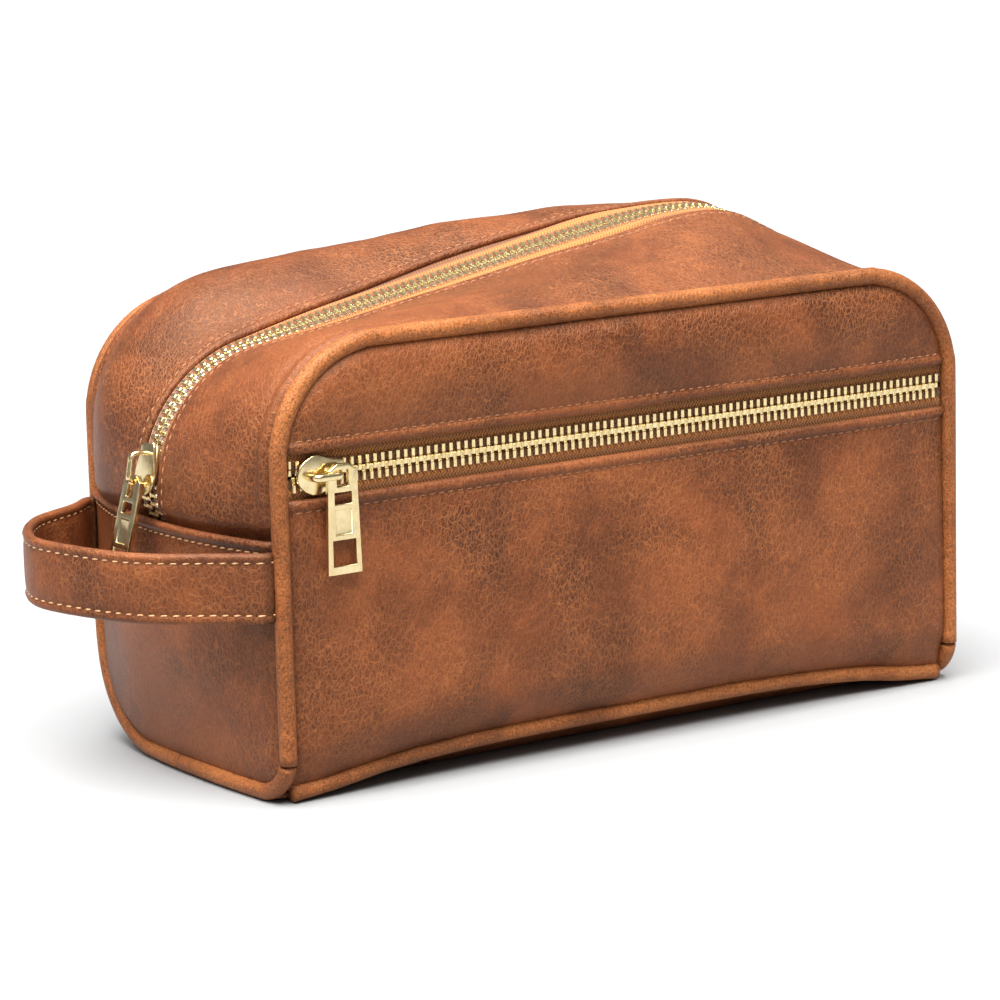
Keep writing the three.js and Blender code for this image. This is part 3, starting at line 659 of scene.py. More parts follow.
stitched_edge = edge_outline(
    (1.0, -2.1), (0.25, -1.4), (0.0, -0.6), (0.35, 0.30), (1.3, 0.85), (2.5, 0.78), (3.4, 0.15), (3.9, -0.30),
    (4.5, -0.05), (5.8, 0.0),
)
rolled_edge = edge_outline(
    (1.0, -2.1), (0.2, -1.3), (0.0, -0.3), (0.35, 0.70), (1.2, 1.20), (2.1, 0.95), (2.7, 0.25), (3.1, -0.15),
    (3.9, -0.12), (4.8, -0.02), (5.8, 0.0),
)
zip_edge = edge_outline(
    (1.0, -2.0), (0.25, -1.4), (0.0, -0.7), (0.3, 0.10), (1.0, 0.50), (1.9, 0.38), (2.7, -0.05), (3.6, 0.02),
    (5.8, 0.0),
)
STITCH_IN = 3.9


def from_edge(outline, share, lip_share, span):
    """Walks from a folded edge, at share 0, to the far side of a panel, span mm away, at share 1."""
    if share <= lip_share:
        place = outline.at(outline.length * share / lip_share)
        return place.x, place.z
    into = outline.points[-1][0]
    return mix(into, span, (share - lip_share) / (1 - lip_share)), 0.0


def sewn(distance):
    """How far a panel dips, and how sewn down it is, at a distance from its piping's middle. How sewn down it
    is also sets the painted shade in the crease beside the piping.
    """
    near = max(0.0, 1 - max(0.0, distance - 1.0) / 6.5)
    return 2.3 * near**2, near**3


# %% [markdown]
# ## Front
#
# The front is two panels with the zip's window between them. The lower one is the pocket's wall. It crowns
# forwards, tucks back towards the bottom seam, and wanders a little, because nothing soft is flat.

# %% Front panels
WINDOW_TOP = FRONT_ZIP + WINDOW
WINDOW_BOTTOM = FRONT_ZIP - WINDOW
SEAM_IN = 1.2


def gap_to_arch(x, z):
    """Distance in the front's plane from the piping's middle line."""
    beside, above = abs(x) - (LENGTH - TOP_CORNER), z - ARCH_Z
    if beside > 0 and above > 0:
        return TOP_CORNER - math.hypot(beside, above)
    return min(LENGTH - abs(x), HEIGHT - z)


def front_upper(u, v):
    span = HEIGHT - SEAM_IN - WINDOW_TOP
    into, out = from_edge(stitched_edge, v, 0.30, span)
    z = WINDOW_TOP + into
    x = mix(-1, 1, u) * half_width(z, SEAM_IN)
    dip, sewn_and_shade = sewn(gap_to_arch(x, z))
    free = smooth(into / 12) * (1 - sewn_and_shade)
    crown = 3.2 * (1 - (x / LENGTH) ** 4) * math.sin(math.pi * min(1, into / span))
    wave = wander(x, z, 0.9, 34, 1.7) * free
    return Vector((x, FRONT_FACE - crown - wave - out + dip, z)), sewn_and_shade


def pocket_front(u, v):
    x = mix(-1, 1, u) * (LENGTH - SEAM_IN)
    low = PIPING_LOW + bottom_lift(x) + SEAM_IN
    span = WINDOW_BOTTOM - low
    into, out = from_edge(stitched_edge, 1 - v, 0.16, span)
    z = WINDOW_BOTTOM - into
    up = min(1.0, max(0.0, (z - low) / span))
    dip, sewn_and_shade = sewn(min(LENGTH - abs(x), (z - low + SEAM_IN)))
    tuck = FRONT_FOOT * 0.27 * (1 - smooth((z - low) / (FRONT_FOOT * 1.2)))
    crown = 4.2 * (1 - (x / LENGTH) ** 4) * math.sin(math.pi * up**0.6)
    free = smooth(into / 14) * (1 - sewn_and_shade)
    wave = (wander(x, z, 1.3, 46, 4.2) + wander(x, z * 0.4, 0.5, 15, 8.8)) * free
    return Vector((x, FRONT_FACE + tuck - crown - wave - out + dip, z)), sewn_and_shade


upper_panel = make_sheet("front_upper_leather", front_upper, 150, 44, LEATHER, leather, lining_cloth)
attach(upper_panel, "bag")
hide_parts("front_upper_panel")

pocket_panel = make_sheet("pocket_front_leather", pocket_front, 150, 72, LEATHER, leather, lining_cloth)
pocket_halves = cut_at_middle(pocket_panel, "pocket_front_left", "pocket_front_right")
open_with(pocket_halves)
for half, side in zip(pocket_halves, ("left", "right")):
    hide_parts(f"front_pocket_panel_{side}", "front_pocket_panel_mouth")
print("front panels", [len(o.data.polygons) for o in (upper_panel, *pocket_halves)], "faces")

# %% [markdown]
# ## Back, base and ends
#
# The back panel runs down the back and round under the bag, so its side view is a long quarter circle.
# The ends bow out over the whole depth of the bag, and their top edge is folded over the gusset and
# stitched.


# %% Back and base
back_side_view = Line([
    *[Vector((0, BACK_FOOT_Y + p.x, PIPING_LOW + BACK_FOOT + p.z)) for p in arc(0, 0, BACK_FOOT, -86, 0, 30)],
    Vector((0, DEPTH, HEIGHT - SEAM_IN)),
])


def back_panel(u, v):
    distance = v * back_side_view.length
    heading = back_side_view.heading(distance)
    out = Vector((0, heading.z, -heading.y))
    place = back_side_view.at(distance)
    low = smooth((PIPING_LOW + BACK_FOOT - place.z) / 12)
    reach = half_width(place.z, SEAM_IN) + end_bow(place.y, place.z) * (1 if place.y < DEPTH - 0.01 else 0)
    x = mix(1, -1, u) * reach
    gap = min(gap_to_arch(x, place.z) + (reach - half_width(place.z, SEAM_IN)), distance + SEAM_IN)
    dip, sewn_and_shade = sewn(gap)
    crown = 5 * (1 - (x / reach) ** 4) * math.sin(math.pi * min(1, max(0, place.z - 18) / (HEIGHT - 20)))
    wave = wander(x, place.z, 1.5, 50, 12.1) * (1 - sewn_and_shade) * (1 - low)
    place.x = x
    return place + out * (LEATHER - 0.2 + crown + wave - dip), sewn_and_shade


BASE_FRONT = FRONT_BOTTOM_Y + 1.5
BASE_BACK = BACK_FOOT_Y - 1.5
BASE_CLIMB = 14


def base_panel(u, v):
    y = mix(BASE_FRONT, BASE_BACK, v)
    x = mix(1, -1, u) * (LENGTH - SEAM_IN + end_bow(y, 0))
    climb = smooth((BASE_FRONT + BASE_CLIMB - y) / BASE_CLIMB)
    edge = min(y - BASE_FRONT, BASE_BACK - y, LENGTH + end_bow(y, 0) - abs(x)) + 1.5
    dip, sewn_and_shade = sewn(edge)
    return Vector((x, y, bottom_lift(x) * climb + dip)), sewn_and_shade


for name, surface, columns, rows, node in (
    ("back_leather", back_panel, 120, 90, "back_panel"),
    ("base_leather", base_panel, 120, 40, "base_panel"),
):
    panel = make_sheet(name, surface, columns, rows, LEATHER, leather, lining_cloth)
    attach(panel, "bag")
    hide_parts(node)
    print(name, len(panel.data.polygons), "faces")


# %% End panels
def foot_height(y):
    if y < FRONT_FOOT_Y:
        return PIPING_LOW + FRONT_FOOT - math.sqrt(max(0, FRONT_FOOT**2 - (y - FRONT_FOOT_Y) ** 2))
    if y > BACK_FOOT_Y:
        return PIPING_LOW + BACK_FOOT - math.sqrt(max(0, BACK_FOOT**2 - (y - BACK_FOOT_Y) ** 2))
    return PIPING_LOW


def end_panel(side):
    def surface(u, v):
        y = mix(-1, 1, u) * (DEPTH - SEAM_IN) * side
        low = foot_height(y) + SEAM_IN
        span = END_TOP + 0.6 - low
        into, out = from_edge(rolled_edge, 1 - v, 0.20, span)
        z = END_TOP + 0.6 - into
        gap = min(DEPTH - abs(y), z - foot_height(y))
        dip, sewn_and_shade = sewn(gap)
        free = smooth(into / 12) * (1 - sewn_and_shade)
        wave = wander(y, z, 1.1, 38, 20.0 + side) * free
        x = LENGTH + end_bow(y, z) + LEATHER + out + wave - dip * 0.8
        return Vector((side * x, y, z)), sewn_and_shade
    return surface


for side, name in ((-1, "left"), (1, "right")):
    panel = make_sheet(f"end_leather_{name}", end_panel(side), 84, 60, LEATHER, leather, lining_cloth)
    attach(panel, "bag")
    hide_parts(f"end_panel_{name}")

# %% [markdown]
# ## Gusset
#
# The gusset is the long strip over the top, in two halves with the zip between them. Each half is
# stretched from the piped seam to the zip and swells on the way. The back half swells more than the
# front, and both tuck in behind the end panels' folded edges.

# %% Gusset halves
TUCK_FROM = 88


def tuck_in(z):
    """How far the gusset and the zip go in, to pass behind an end panel's edge."""
    return 3.4 * smooth((TUCK_FROM - z) / 7)


def between(x, *stops):
    """A value that changes smoothly from stop to stop, each (x, value)."""
    for (x0, a), (x1, b) in zip(stops, stops[1:]):
        if x <= x1:
            return mix(a, b, smooth((x - x0) / (x1 - x0)))
    return stops[-1][1]


def swell(x, side):
    """How far a half stands up between the seam and the zip: the back is fullest on the left."""
    if side < 0:
        return between(x, (-130, 3.2), (30, 2.8), (80, 0.4), (105, 0.4), (130, 2.0))
    return between(x, (-130, 6.0), (-88, 11.5), (-18, 11.5), (24, 8.0), (60, 4.2), (98, 0.8), (130, 2.0))


def zip_tilt(x):
    """The back of the bag stands higher than the front, so the zip leans forwards along the top."""
    return between(x, (-132, 0.0), (-70, 0.30), (20, 0.32), (70, 0.12), (104, 0.0), (130, 0.0))


def zip_window(x, side):
    """How far from the zip's middle each folded edge lies: close at the ends, slack on the top."""
    if side < 0:
        return between(x, (-130, 5.6), (-60, 6.6), (-10, 7.4), (40, 9.4), (92, 9.0), (130, 6.0))
    return between(x, (-130, 5.6), (-75, 6.4), (-20, 10.0), (20, 8.6), (55, 6.6), (130, 6.0))


def gusset(half, side):
    span = DEPTH - SEAM_IN - WINDOW
    lift = 1.1 if side < 0 else 1.4

    def surface(u, v):
        into, out = from_edge(zip_edge, 1 - v if side < 0 else v, 0.14, span)
        f = min(1.0, into / span)
        on_seam, on_zip = u * seam_line.length, zip_distance(u)
        seam_out, zip_out = outwards(seam_line, on_seam), outwards(zip_line, on_zip)
        zip_middle = zip_line.at(on_zip)
        window = zip_window(zip_middle.x, side)
        across = side * (window + into * (DEPTH - SEAM_IN - window) / span)
        lean = zip_tilt(zip_middle.x) * across * (1 - f) ** 1.5
        seam_place = seam_line.at(on_seam) + seam_out * (LEATHER / 2)
        zip_place = zip_middle + zip_out * (lift + lean)
        place = zip_place.lerp(seam_place, smooth(f) * 0.4 + f * 0.6)
        direction = zip_out.lerp(seam_out, f).normalized()
        from_seam = span - into + 1.0
        dip, sewn_and_shade = sewn(from_seam)
        corner = smooth((-LENGTH + 75 - place.x) / 30) * smooth((place.z - 84) / 14)
        ridge = 1.3 * math.exp(-((from_seam - 4.6) / 1.9) ** 2)
        hollow = 0.7 * math.exp(-((from_seam - 8.6) / 2) ** 2)
        welt = corner * (ridge - hollow)
        free = smooth(into / 10) * (1 - sewn_and_shade)
        fullness = swell(place.x, side) * math.sin(math.pi * (f if side < 0 else f**1.25))
        wave = (wander(u * 430, into * 1.2, 0.8, 44, 30.0 + side)
                + wander(u * 430, into * 0.35, 0.35, 14, 40.0 + side)) * free
        place += direction * (fullness + wave + welt + out - dip * 0.8 - tuck_in(place.z))
        place.y = across
        return place, sewn_and_shade
    return surface


for half, side in (("front", -1), ("back", 1)):
    strip = make_sheet(f"gusset_{half}", gusset(half, side), 240, 60, LEATHER, leather, lining_cloth)
    halves = cut_at_middle(strip, f"gusset_{half}_leather_left", f"gusset_{half}_leather_right")
    open_with(halves)
    for piece, end in zip(halves, ("left", "right")):
        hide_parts(f"gusset_{half}_{end}", f"gusset_{half}_mouth")
    print("gusset", half, [len(o.data.polygons) for o in halves], "faces")

# %% [markdown]
# ## Zips
#
# A metal zip is two tapes with a row of teeth clamped on each. A tooth is a short bar with a leg towards
# the tape and a narrower head towards the middle, and the two rows sit half a step apart so that the
# heads hook into each other. The tooth is shaped once and then repeated.

# %% One tooth
TOOTH_STEP = 2.75


def make_tooth():
    tooth = bmesh.new()
    bmesh.ops.create_cube(tooth, size=1)
    bmesh.ops.scale(tooth, vec=(1.25, 2.8, 2.4), verts=tooth.verts)
    bmesh.ops.translate(tooth, vec=(0, 2.65, 0), verts=tooth.verts)
    inner = min(tooth.faces, key=lambda face: face.calc_center_median().y)
    bmesh.ops.inset_region(tooth, faces=[inner], thickness=0.12, use_even_offset=True)
    head = bmesh.ops.extrude_discrete_faces(tooth, faces=[inner])["faces"][0]
    bmesh.ops.translate(tooth, vec=(0, -2.1, 0), verts=head.verts)
    to_middle = Matrix.Translation(-head.calc_center_median())
    bmesh.ops.scale(tooth, vec=(1.62, 1, 0.84), verts=head.verts, space=to_middle)
    bmesh.ops.bevel(tooth, geom=tooth.edges, offset=0.24, offset_type="OFFSET", segments=1, profile=0.5,
                    affect="EDGES", material=-1)
    mesh = bpy.data.meshes.new("tooth")
    tooth.to_mesh(mesh)
    tooth.free()
    return mesh


def repeat(name, unit, matrices, *materials, shade=False):
    many = bmesh.new()
    for matrix in matrices:
        copy = unit.copy()
        copy.transform(matrix)
        if matrix.determinant() < 0:
            copy.flip_normals()
        many.from_mesh(copy)
        bpy.data.meshes.remove(copy)
    return to_object(many, name, *materials, shade=shade)


tooth = make_tooth()
print("one tooth has", len(tooth.polygons), "faces")


def axes(place, x_axis, z_axis, mirror_y=False):
    """A matrix whose X runs along the zip and whose Z points out of the bag."""
    y_axis = z_axis.cross(x_axis) * (-1 if mirror_y else 1)
    matrix = Matrix((x_axis, y_axis, z_axis)).transposed().to_4x4()
    matrix.translation = place
    return matrix


# %% The main zip
slider_body_low, slider_body_high = box_mm("main_slider_body")
slider_z = (slider_body_low.z + slider_body_high.z) / 2
MAIN_SLIDER_AT = float(np.interp(slider_z, zip_line.points[:40, 2], zip_line.along[:40]))
SPREAD = 1.1
TAPE_GIVE = 1.1
TAPE_HIGH = 0.0


def zip_frame(distance):
    """Place, heading, out direction and the leaning zip's own up."""
    out = outwards(zip_line, distance)
    heading = zip_line.heading(distance)
    place = zip_line.at(distance)
    lean = math.atan(zip_tilt(place.x))
    up = (out * math.cos(lean) - Vector((0, 1, 0)) * math.sin(lean)).normalized()
    return place - out * tuck_in(place.z), heading, out, up


def main_tooth_places(side, end):
    places = []
    count = int(zip_line.length / TOOTH_STEP)
    for i in range(count):
        distance = (i + (0.25 if side < 0 else 0.75)) * TOOTH_STEP
        place, heading, out, up = zip_frame(distance)
        if place.z < 72 or (place.x < 0) != (end == "left"):
            continue
        apart = SPREAD * smooth((MAIN_SLIDER_AT - distance) / 14)
        place = place + Vector((0, side * apart, 0))
        matrix = axes(place, heading, up)
        places.append(matrix @ Matrix.Diagonal((1, side, 1, 1)))
    return places


def shaded_by_teeth(across):
    """The tape lies in the shade between the teeth, and is clear of them further out."""
    return 0.8 * (1 - smooth((across - 3.6) / 1.0))


def tape(half, side):
    def surface(u, v):
        place, heading, out, up = zip_frame(mix(6, zip_line.length - 6, u))
        across = mix(13.5, 1.2, v) if side < 0 else mix(1.2, 13.5, v)
        window = zip_window(place.x, side)
        over = heading.cross(up) * -side
        under = 0.9 * smooth((across - window + 1.5) / 3)
        opened = smooth((MAIN_SLIDER_AT - mix(6, zip_line.length - 6, u)) / 14)
        across += TAPE_GIVE * opened * (1 - smooth(across / 5))
        place = place + up * (TAPE_HIGH - under) - over * across
        # The second value is painted shade: the shadow of the leather's folded edge on the tape and the shade
        # between the teeth.
        return place, max(0.7 * smooth((across - window + 1.2) / 1.4), shaded_by_teeth(across))
    return surface


for half, side in (("front", -1), ("back", 1)):
    strip = make_sheet(f"main_tape_{half}", tape(half, side), 300, 9, 0.7, main_tape_cloth,
                       uv=(zip_line.length, 12.7))
    halves = cut_at_middle(strip, f"main_zip_tape_{half}_left", f"main_zip_tape_{half}_right")
    open_with(halves)
    for piece, end in zip(halves, ("left", "right")):
        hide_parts(f"main_tape_{half}_{end}", f"main_tape_{half}_mouth")
    rows = [repeat(f"main_zip_teeth_{half}_{end}", tooth, main_tooth_places(side, end), tooth_gold)
            for end in ("left", "right")]
    open_with(rows)
    for piece, end in zip(rows, ("left", "right")):
        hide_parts(f"main_teeth_{half}_{end}", f"main_teeth_{half}_mouth")

# %% The front zip
front_slider_low, front_slider_high = box_mm("front_slider_body")
FRONT_SLIDER_X = (front_slider_low.x + front_slider_high.x) / 2
FRONT_ZIP_END = LENGTH - PIPING + 0.8


def front_tooth_places(side, keep):
    places = []
    for i in range(int(2 * FRONT_ZIP_END / TOOTH_STEP)):
        x = -FRONT_ZIP_END + (i + (0.25 if side < 0 else 0.75)) * TOOTH_STEP
        if not keep(x):
            continue
        apart = SPREAD * smooth((FRONT_SLIDER_X - x) / 9)
        place = Vector((x, TAPE_Y, FRONT_ZIP + side * apart))
        matrix = axes(place, Vector((1, 0, 0)), Vector((0, -1, 0)))
        places.append(matrix @ Matrix.Diagonal((1, side, 1, 1)))
    return places


def front_tape(side):
    def surface(u, v):
        across = mix(13, 0.8, v) if side < 0 else mix(0.8, 13, v)
        x = mix(-FRONT_ZIP_END, FRONT_ZIP_END, u)
        y = TAPE_Y - TAPE_HIGH + 0.25 * smooth((across - WINDOW) / 3)
        # Painted shade: the shadow of the leather's edge on the tape and the shade between the teeth.
        shade = max(0.6 * smooth((across - WINDOW + 2.2) / 2.4), shaded_by_teeth(across))
        return Vector((x, y, FRONT_ZIP + side * across)), shade
    return surface


upper_tape = make_sheet("front_zip_tape_upper", front_tape(1), 160, 9, 0.7, front_tape_cloth,
                        uv=(2 * FRONT_ZIP_END, 12.2))
upper_teeth = repeat("front_zip_teeth_upper", tooth, front_tooth_places(1, lambda x: True), tooth_gold)
for piece, node, slot in ((upper_tape, "front_tape_upper", "front_zip_tape"),
                          (upper_teeth, "front_teeth_upper", "zip_metal")):
    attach(piece, "bag")
    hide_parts(node)

lower_tape = make_sheet("front_tape_lower", front_tape(-1), 160, 9, 0.7, front_tape_cloth,
                        uv=(2 * FRONT_ZIP_END, 12.2))
lower_tapes = cut_at_middle(lower_tape, "front_zip_tape_lower_left", "front_zip_tape_lower_right")
lower_teeth = [
    repeat(f"front_zip_teeth_lower_{end}", tooth, front_tooth_places(-1, keep), tooth_gold)
    for end, keep in (("left", lambda x: x < 0), ("right", lambda x: x >= 0))
]
for pieces, slot, node in (
    (lower_tapes, "front_zip_tape", "front_tape"),
    (lower_teeth, "zip_metal", "front_teeth"),
):
    open_with(pieces)
    for piece, end in zip(pieces, ("left", "right")):
        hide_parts(f"{node}_lower_{end}", f"{node}_lower_mouth")

# %% [markdown]
# ## Thread
#
# Stitches are short, slightly arched lengths of waxed thread that dive into the leather at both ends. One
# stitch is a stretched ball, set along a path again and again. Its ends sink below the surface, so that
# no hole has to be cut.

# %% Stitches
STITCH_STEP = 3.4
STITCH_LONG = 2.9
THREAD = 0.29


def make_stitch():
    stitch = bmesh.new()
    bmesh.ops.create_uvsphere(stitch, u_segments=8, v_segments=7, radius=1)
    lying = Matrix.Rotation(math.radians(90), 3, "Y")
    bmesh.ops.rotate(stitch, cent=(0, 0, 0), matrix=lying, verts=stitch.verts)
    bmesh.ops.scale(stitch, vec=(STITCH_LONG / 2, THREAD, THREAD), verts=stitch.verts)
    for vert in stitch.verts:
        vert.co.z -= 0.45 * (vert.co.x * 2 / STITCH_LONG) ** 2
    mesh = bpy.data.meshes.new("stitch")
    stitch.to_mesh(mesh)
    stitch.free()
    return mesh


stitch = make_stitch()


def stitch_row(name, count, place_at, thread, keep=lambda place: True, slant=0.10):
    """place_at(i) gives a stitch's place, the way the row runs there, and which way is out."""
    matrices = []
    for i in range(count):
        place, heading, out = place_at(i)
        if keep(place):
            across = out.cross(heading)
            heading = (heading + across * slant).normalized()
            matrices.append(axes(place, heading, out.normalized()))
    return repeat(name, stitch, matrices, thread, shade=True)


def on_sheet(surface, u, v):
    """Place, heading and out direction on a panel's surface."""
    step = 0.002
    place = surface(u, v)[0]
    along_u = surface(u + step, v)[0] - surface(u - step, v)[0]
    along_v = surface(u, v + step)[0] - surface(u, v - step)[0]
    out = along_u.cross(along_v).normalized()
    return place + out * 0.12, along_u.normalized(), out


def share_at_stitches(lip_share, outline, into=STITCH_IN):
    """Where on a panel, from its folded edge, the stitches run."""
    first = int(np.argmin(outline.points[:, 0]))
    distance = float(np.interp(into, outline.points[first:, 0], outline.along[first:]))
    return lip_share * distance / outline.length


# %% Rows along the front zip and the end panels
upper_share = share_at_stitches(0.30, stitched_edge)
lower_share = share_at_stitches(0.16, stitched_edge)
end_share = share_at_stitches(0.20, rolled_edge)
lip_share = share_at_stitches(0.14, zip_edge, 2.7)
front_count = int(2 * LENGTH / STITCH_STEP) - 2


def along_row(surface, v, count):
    def place_at(i):
        return on_sheet(surface, mix(0.012, 0.988, (i + 0.5) / count), v)
    return place_at


upper_place = along_row(front_upper, upper_share, front_count)
upper_thread = stitch_row("front_stitches_upper", front_count, upper_place, toned_thread)
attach(upper_thread, "bag")
lower_place = along_row(pocket_front, 1 - lower_share, front_count)
lower_threads = [
    stitch_row("pocket_stitches_left", front_count, lower_place, toned_thread, lambda p: p.x < 0),
    stitch_row("pocket_stitches_right", front_count, lower_place, toned_thread, lambda p: p.x >= 0),
]
open_with(lower_threads)
end_count = int(2 * DEPTH / STITCH_STEP) - 1
for side, name in ((-1, "left"), (1, "right")):
    end_row = along_row(end_panel(side), 1 - end_share, end_count)
    row = stitch_row(f"end_stitches_{name}", end_count, end_row, light_thread)
    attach(row, "bag")
lip_count = int(seam_line.length / STITCH_STEP)
for half, side in (("front", -1), ("back", 1)):
    lip_place = along_row(gusset(half, side), 1 - lip_share if side < 0 else lip_share, lip_count)
    rows = [
        stitch_row(f"gusset_stitches_{half}_left", lip_count, lip_place, toned_thread,
                   lambda p: p.x < 0 and p.z > END_TOP + 2),
        stitch_row(f"gusset_stitches_{half}_right", lip_count, lip_place, toned_thread,
                   lambda p: p.x >= 0 and p.z > END_TOP + 2),
    ]
    open_with(rows)
print("stitches along the front:", 2 * front_count)

# %% [markdown]
# ## Hand strap
#
# The strap is two layers of leather over a thin filler, stitched together a little way in from both
# edges. So its section isn't a plain bar: it is thickest at the rolled edges, dips at the stitches and is
# nearly flat between them. The section is drawn for the outer half and mirrored.

# %% The strap
strap_low, strap_high = box_mm("handle_outer_strap")
STRAP_Z = (strap_low.z + strap_high.z) / 2
STRAP_HALF = (strap_high.z - strap_low.z) / 2
STRAP_REACH = -LENGTH - strap_low.x - 1.8
STRAP_STITCH = STRAP_HALF - 2.9
outer_face = [
    (0.0, -STRAP_HALF), (0.75, -STRAP_HALF + 0.12), (1.45, -STRAP_HALF + 0.7), (1.72, -STRAP_HALF + 1.5),
    (1.50, -STRAP_HALF + 2.4), (1.18, -STRAP_STITCH),
    (1.42, -STRAP_STITCH + 0.7), (1.58, -STRAP_STITCH + 1.8),
    (1.70, -STRAP_STITCH + 4.0), (1.74, -1.8),
]
outer_face += [(out, -across) for out, across in reversed(outer_face)]
strap_section = outer_face + [(-out, across) for out, across in reversed(outer_face[1:-1])]
strap_line = Line(through([
    Vector((-LENGTH - 2.6, -DEPTH + 1.4, STRAP_Z)),
    Vector((-LENGTH - 6.2, -DEPTH + 1.9, STRAP_Z)),
    Vector((-LENGTH - STRAP_REACH * 0.3, -DEPTH * 0.83, STRAP_Z)),
    Vector((-LENGTH - STRAP_REACH * 0.72, -DEPTH * 0.5, STRAP_Z)),
    Vector((-LENGTH - STRAP_REACH, 0, STRAP_Z)),
    Vector((-LENGTH - STRAP_REACH * 0.96, DEPTH * 0.32, STRAP_Z)),
    Vector((-LENGTH - STRAP_REACH * 0.7, DEPTH * 0.65, STRAP_Z)),
    Vector((-LENGTH - STRAP_REACH * 0.3, DEPTH * 0.85, STRAP_Z)),
    Vector((-LENGTH - 6.2, DEPTH - 1.9, STRAP_Z)),
    Vector((-LENGTH - 2.6, DEPTH - 1.4, STRAP_Z)),
], 14))


# Painted shade: darker in the grooves along the stitches and at both ends, where the strap meets the bag.
def strap_shade(distance, out, across):
    near_stitch = max(0, 1 - abs(abs(across) - STRAP_STITCH) / 1.6)
    near_end = max(0, 1 - min(distance, strap_line.length - distance) / 7)
    return max(0.55 * near_stitch, near_end)


strap = sweep("hand_strap", strap_line, strap_section, 150, Vector((0, -1, 0)), leather, shade_at=strap_shade)
for vert in strap.data.vertices:
    x, y, z = vert.co / MM
    vert.co.z += MM * wander(x, y, 1.0, 60, 50.0)
    vert.co.x += MM * wander(y, z, 0.7, 30, 52.0)
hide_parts("handle_outer_strap", "handle_inner_strap", "handle_sewn_end_front",
            "handle_sewn_end_back")
strap_count = int(strap_line.length / 3.7)
strap_frames = frames_along(strap_line, strap_count, Vector((0, -1, 0)))
strap_rows = []
for face, face_name in ((1, "outer"), (-1, "inner")):
    for edge, edge_name in ((1, "top"), (-1, "bottom")):
        def strap_stitch(i):
            place, heading, out = strap_frames[i]
            across = Vector((0, 0, 1))
            place = place + out * (1.30 * face) + across * (STRAP_STITCH * edge)
            place.z += wander(place.x, place.y, 1.0, 60, 50.0)
            place.x += wander(place.y, place.z, 0.7, 30, 52.0)
            return place, heading, out * face
        row_name = f"strap_stitches_{face_name}_{edge_name}"
        strap_rows.append(stitch_row(row_name, strap_count, strap_stitch, light_thread))
for piece in (strap, *strap_rows):
    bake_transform(piece)
print(f"strap {strap_line.length:.0f} mm long, {4 * strap_count} stitches")

# %% [markdown]
# ## Sliders
#
# A slider is a die-cast body of two plates, joined at the wide end, that squeezes the rows of teeth
# together. A bail arches over it and the pull hangs from the bail. Both sliders are one design. Each is
# made lying flat, X along the zip, Z out of the bag, and then carried to its place.

# %% Slider body
body_low, body_high = box_mm("front_slider_body")
SLIDER_HALF = (body_high.x - body_low.x) / 2
SLIDER_WIDE = (body_high.z - body_low.z) / 2
PLATE_TOP = TAPE_Y - body_low.y
PLATE = 1.2


def plate_outline():
    """Round and wide at the end where the rows part, narrow where they leave meshed."""
    half = [(-1.0, 0.22), (-0.90, 0.50), (-0.68, 0.78), (-0.40, 0.96),
            (-0.12, 1.0), (0.22, 0.86), (0.52, 0.72),
            (0.84, 0.68), (1.0, 0.60)]
    outline = [(x * SLIDER_HALF, y * SLIDER_WIDE) for x, y in half]
    return outline + [(x, -y) for x, y in reversed(outline)]


def slab(mesh, outline, low, high, edge, steps=3):
    """A flat plate of any outline, with its edges rounded off."""
    verts = [mesh.verts.new((x, y, low)) for x, y in outline]
    face = mesh.faces.new(verts)
    raised = bmesh.ops.extrude_face_region(mesh, geom=[face])["geom"]
    raised_verts = [g for g in raised if isinstance(g, bmesh.types.BMVert)]
    bmesh.ops.translate(mesh, vec=(0, 0, high - low), verts=raised_verts)
    own = {*verts, *raised_verts}
    faces = [f for f in mesh.faces if all(v in own for v in f.verts)]
    bmesh.ops.recalc_face_normals(mesh, faces=faces)
    sharp = [e for e in mesh.edges if e.verts[0] in own and e.verts[1] in own and e.calc_face_angle(0) > 0.9]
    bmesh.ops.bevel(mesh, geom=sharp, offset=edge, offset_type="OFFSET", segments=steps, profile=0.5,
                    affect="EDGES", material=-1)


def make_slider_body():
    body = bmesh.new()
    outline = plate_outline()
    slab(body, outline, PLATE_TOP - PLATE, PLATE_TOP + 0.15, 0.42)
    slab(body, outline, -PLATE_TOP, -PLATE_TOP + PLATE, 0.30, 2)
    for side in (-1, 1):
        rail = [(-0.35, 0.78), (0.0, 0.88), (0.95, 0.66), (0.95, 0.56), (0.0, 0.70), (-0.35, 0.70)]
        rail = [(x * SLIDER_HALF, side * y * SLIDER_WIDE) for x, y in rail]
        slab(body, rail, 0.75, PLATE_TOP - PLATE + 0.3, 0.12, 1)
    post = [(-0.80, 0.10), (-0.55, 0.10), (-0.35, 0.0), (-0.55, -0.10), (-0.80, -0.10)]
    post = [(x * SLIDER_HALF, y * SLIDER_WIDE) for x, y in post]
    slab(body, post, -PLATE_TOP + 0.4, PLATE_TOP - 0.4, 0.1, 1)
    return body


# %% Bail and pull
bail_low, bail_high = box_mm("front_slider_bail")
BAIL_HALF = (bail_high.x - bail_low.x) / 2
BAIL_TOP = TAPE_Y - bail_low.y
pull_low, pull_high = box_mm("front_pull_tab")
PULL_THICK = pull_high.y - pull_low.y


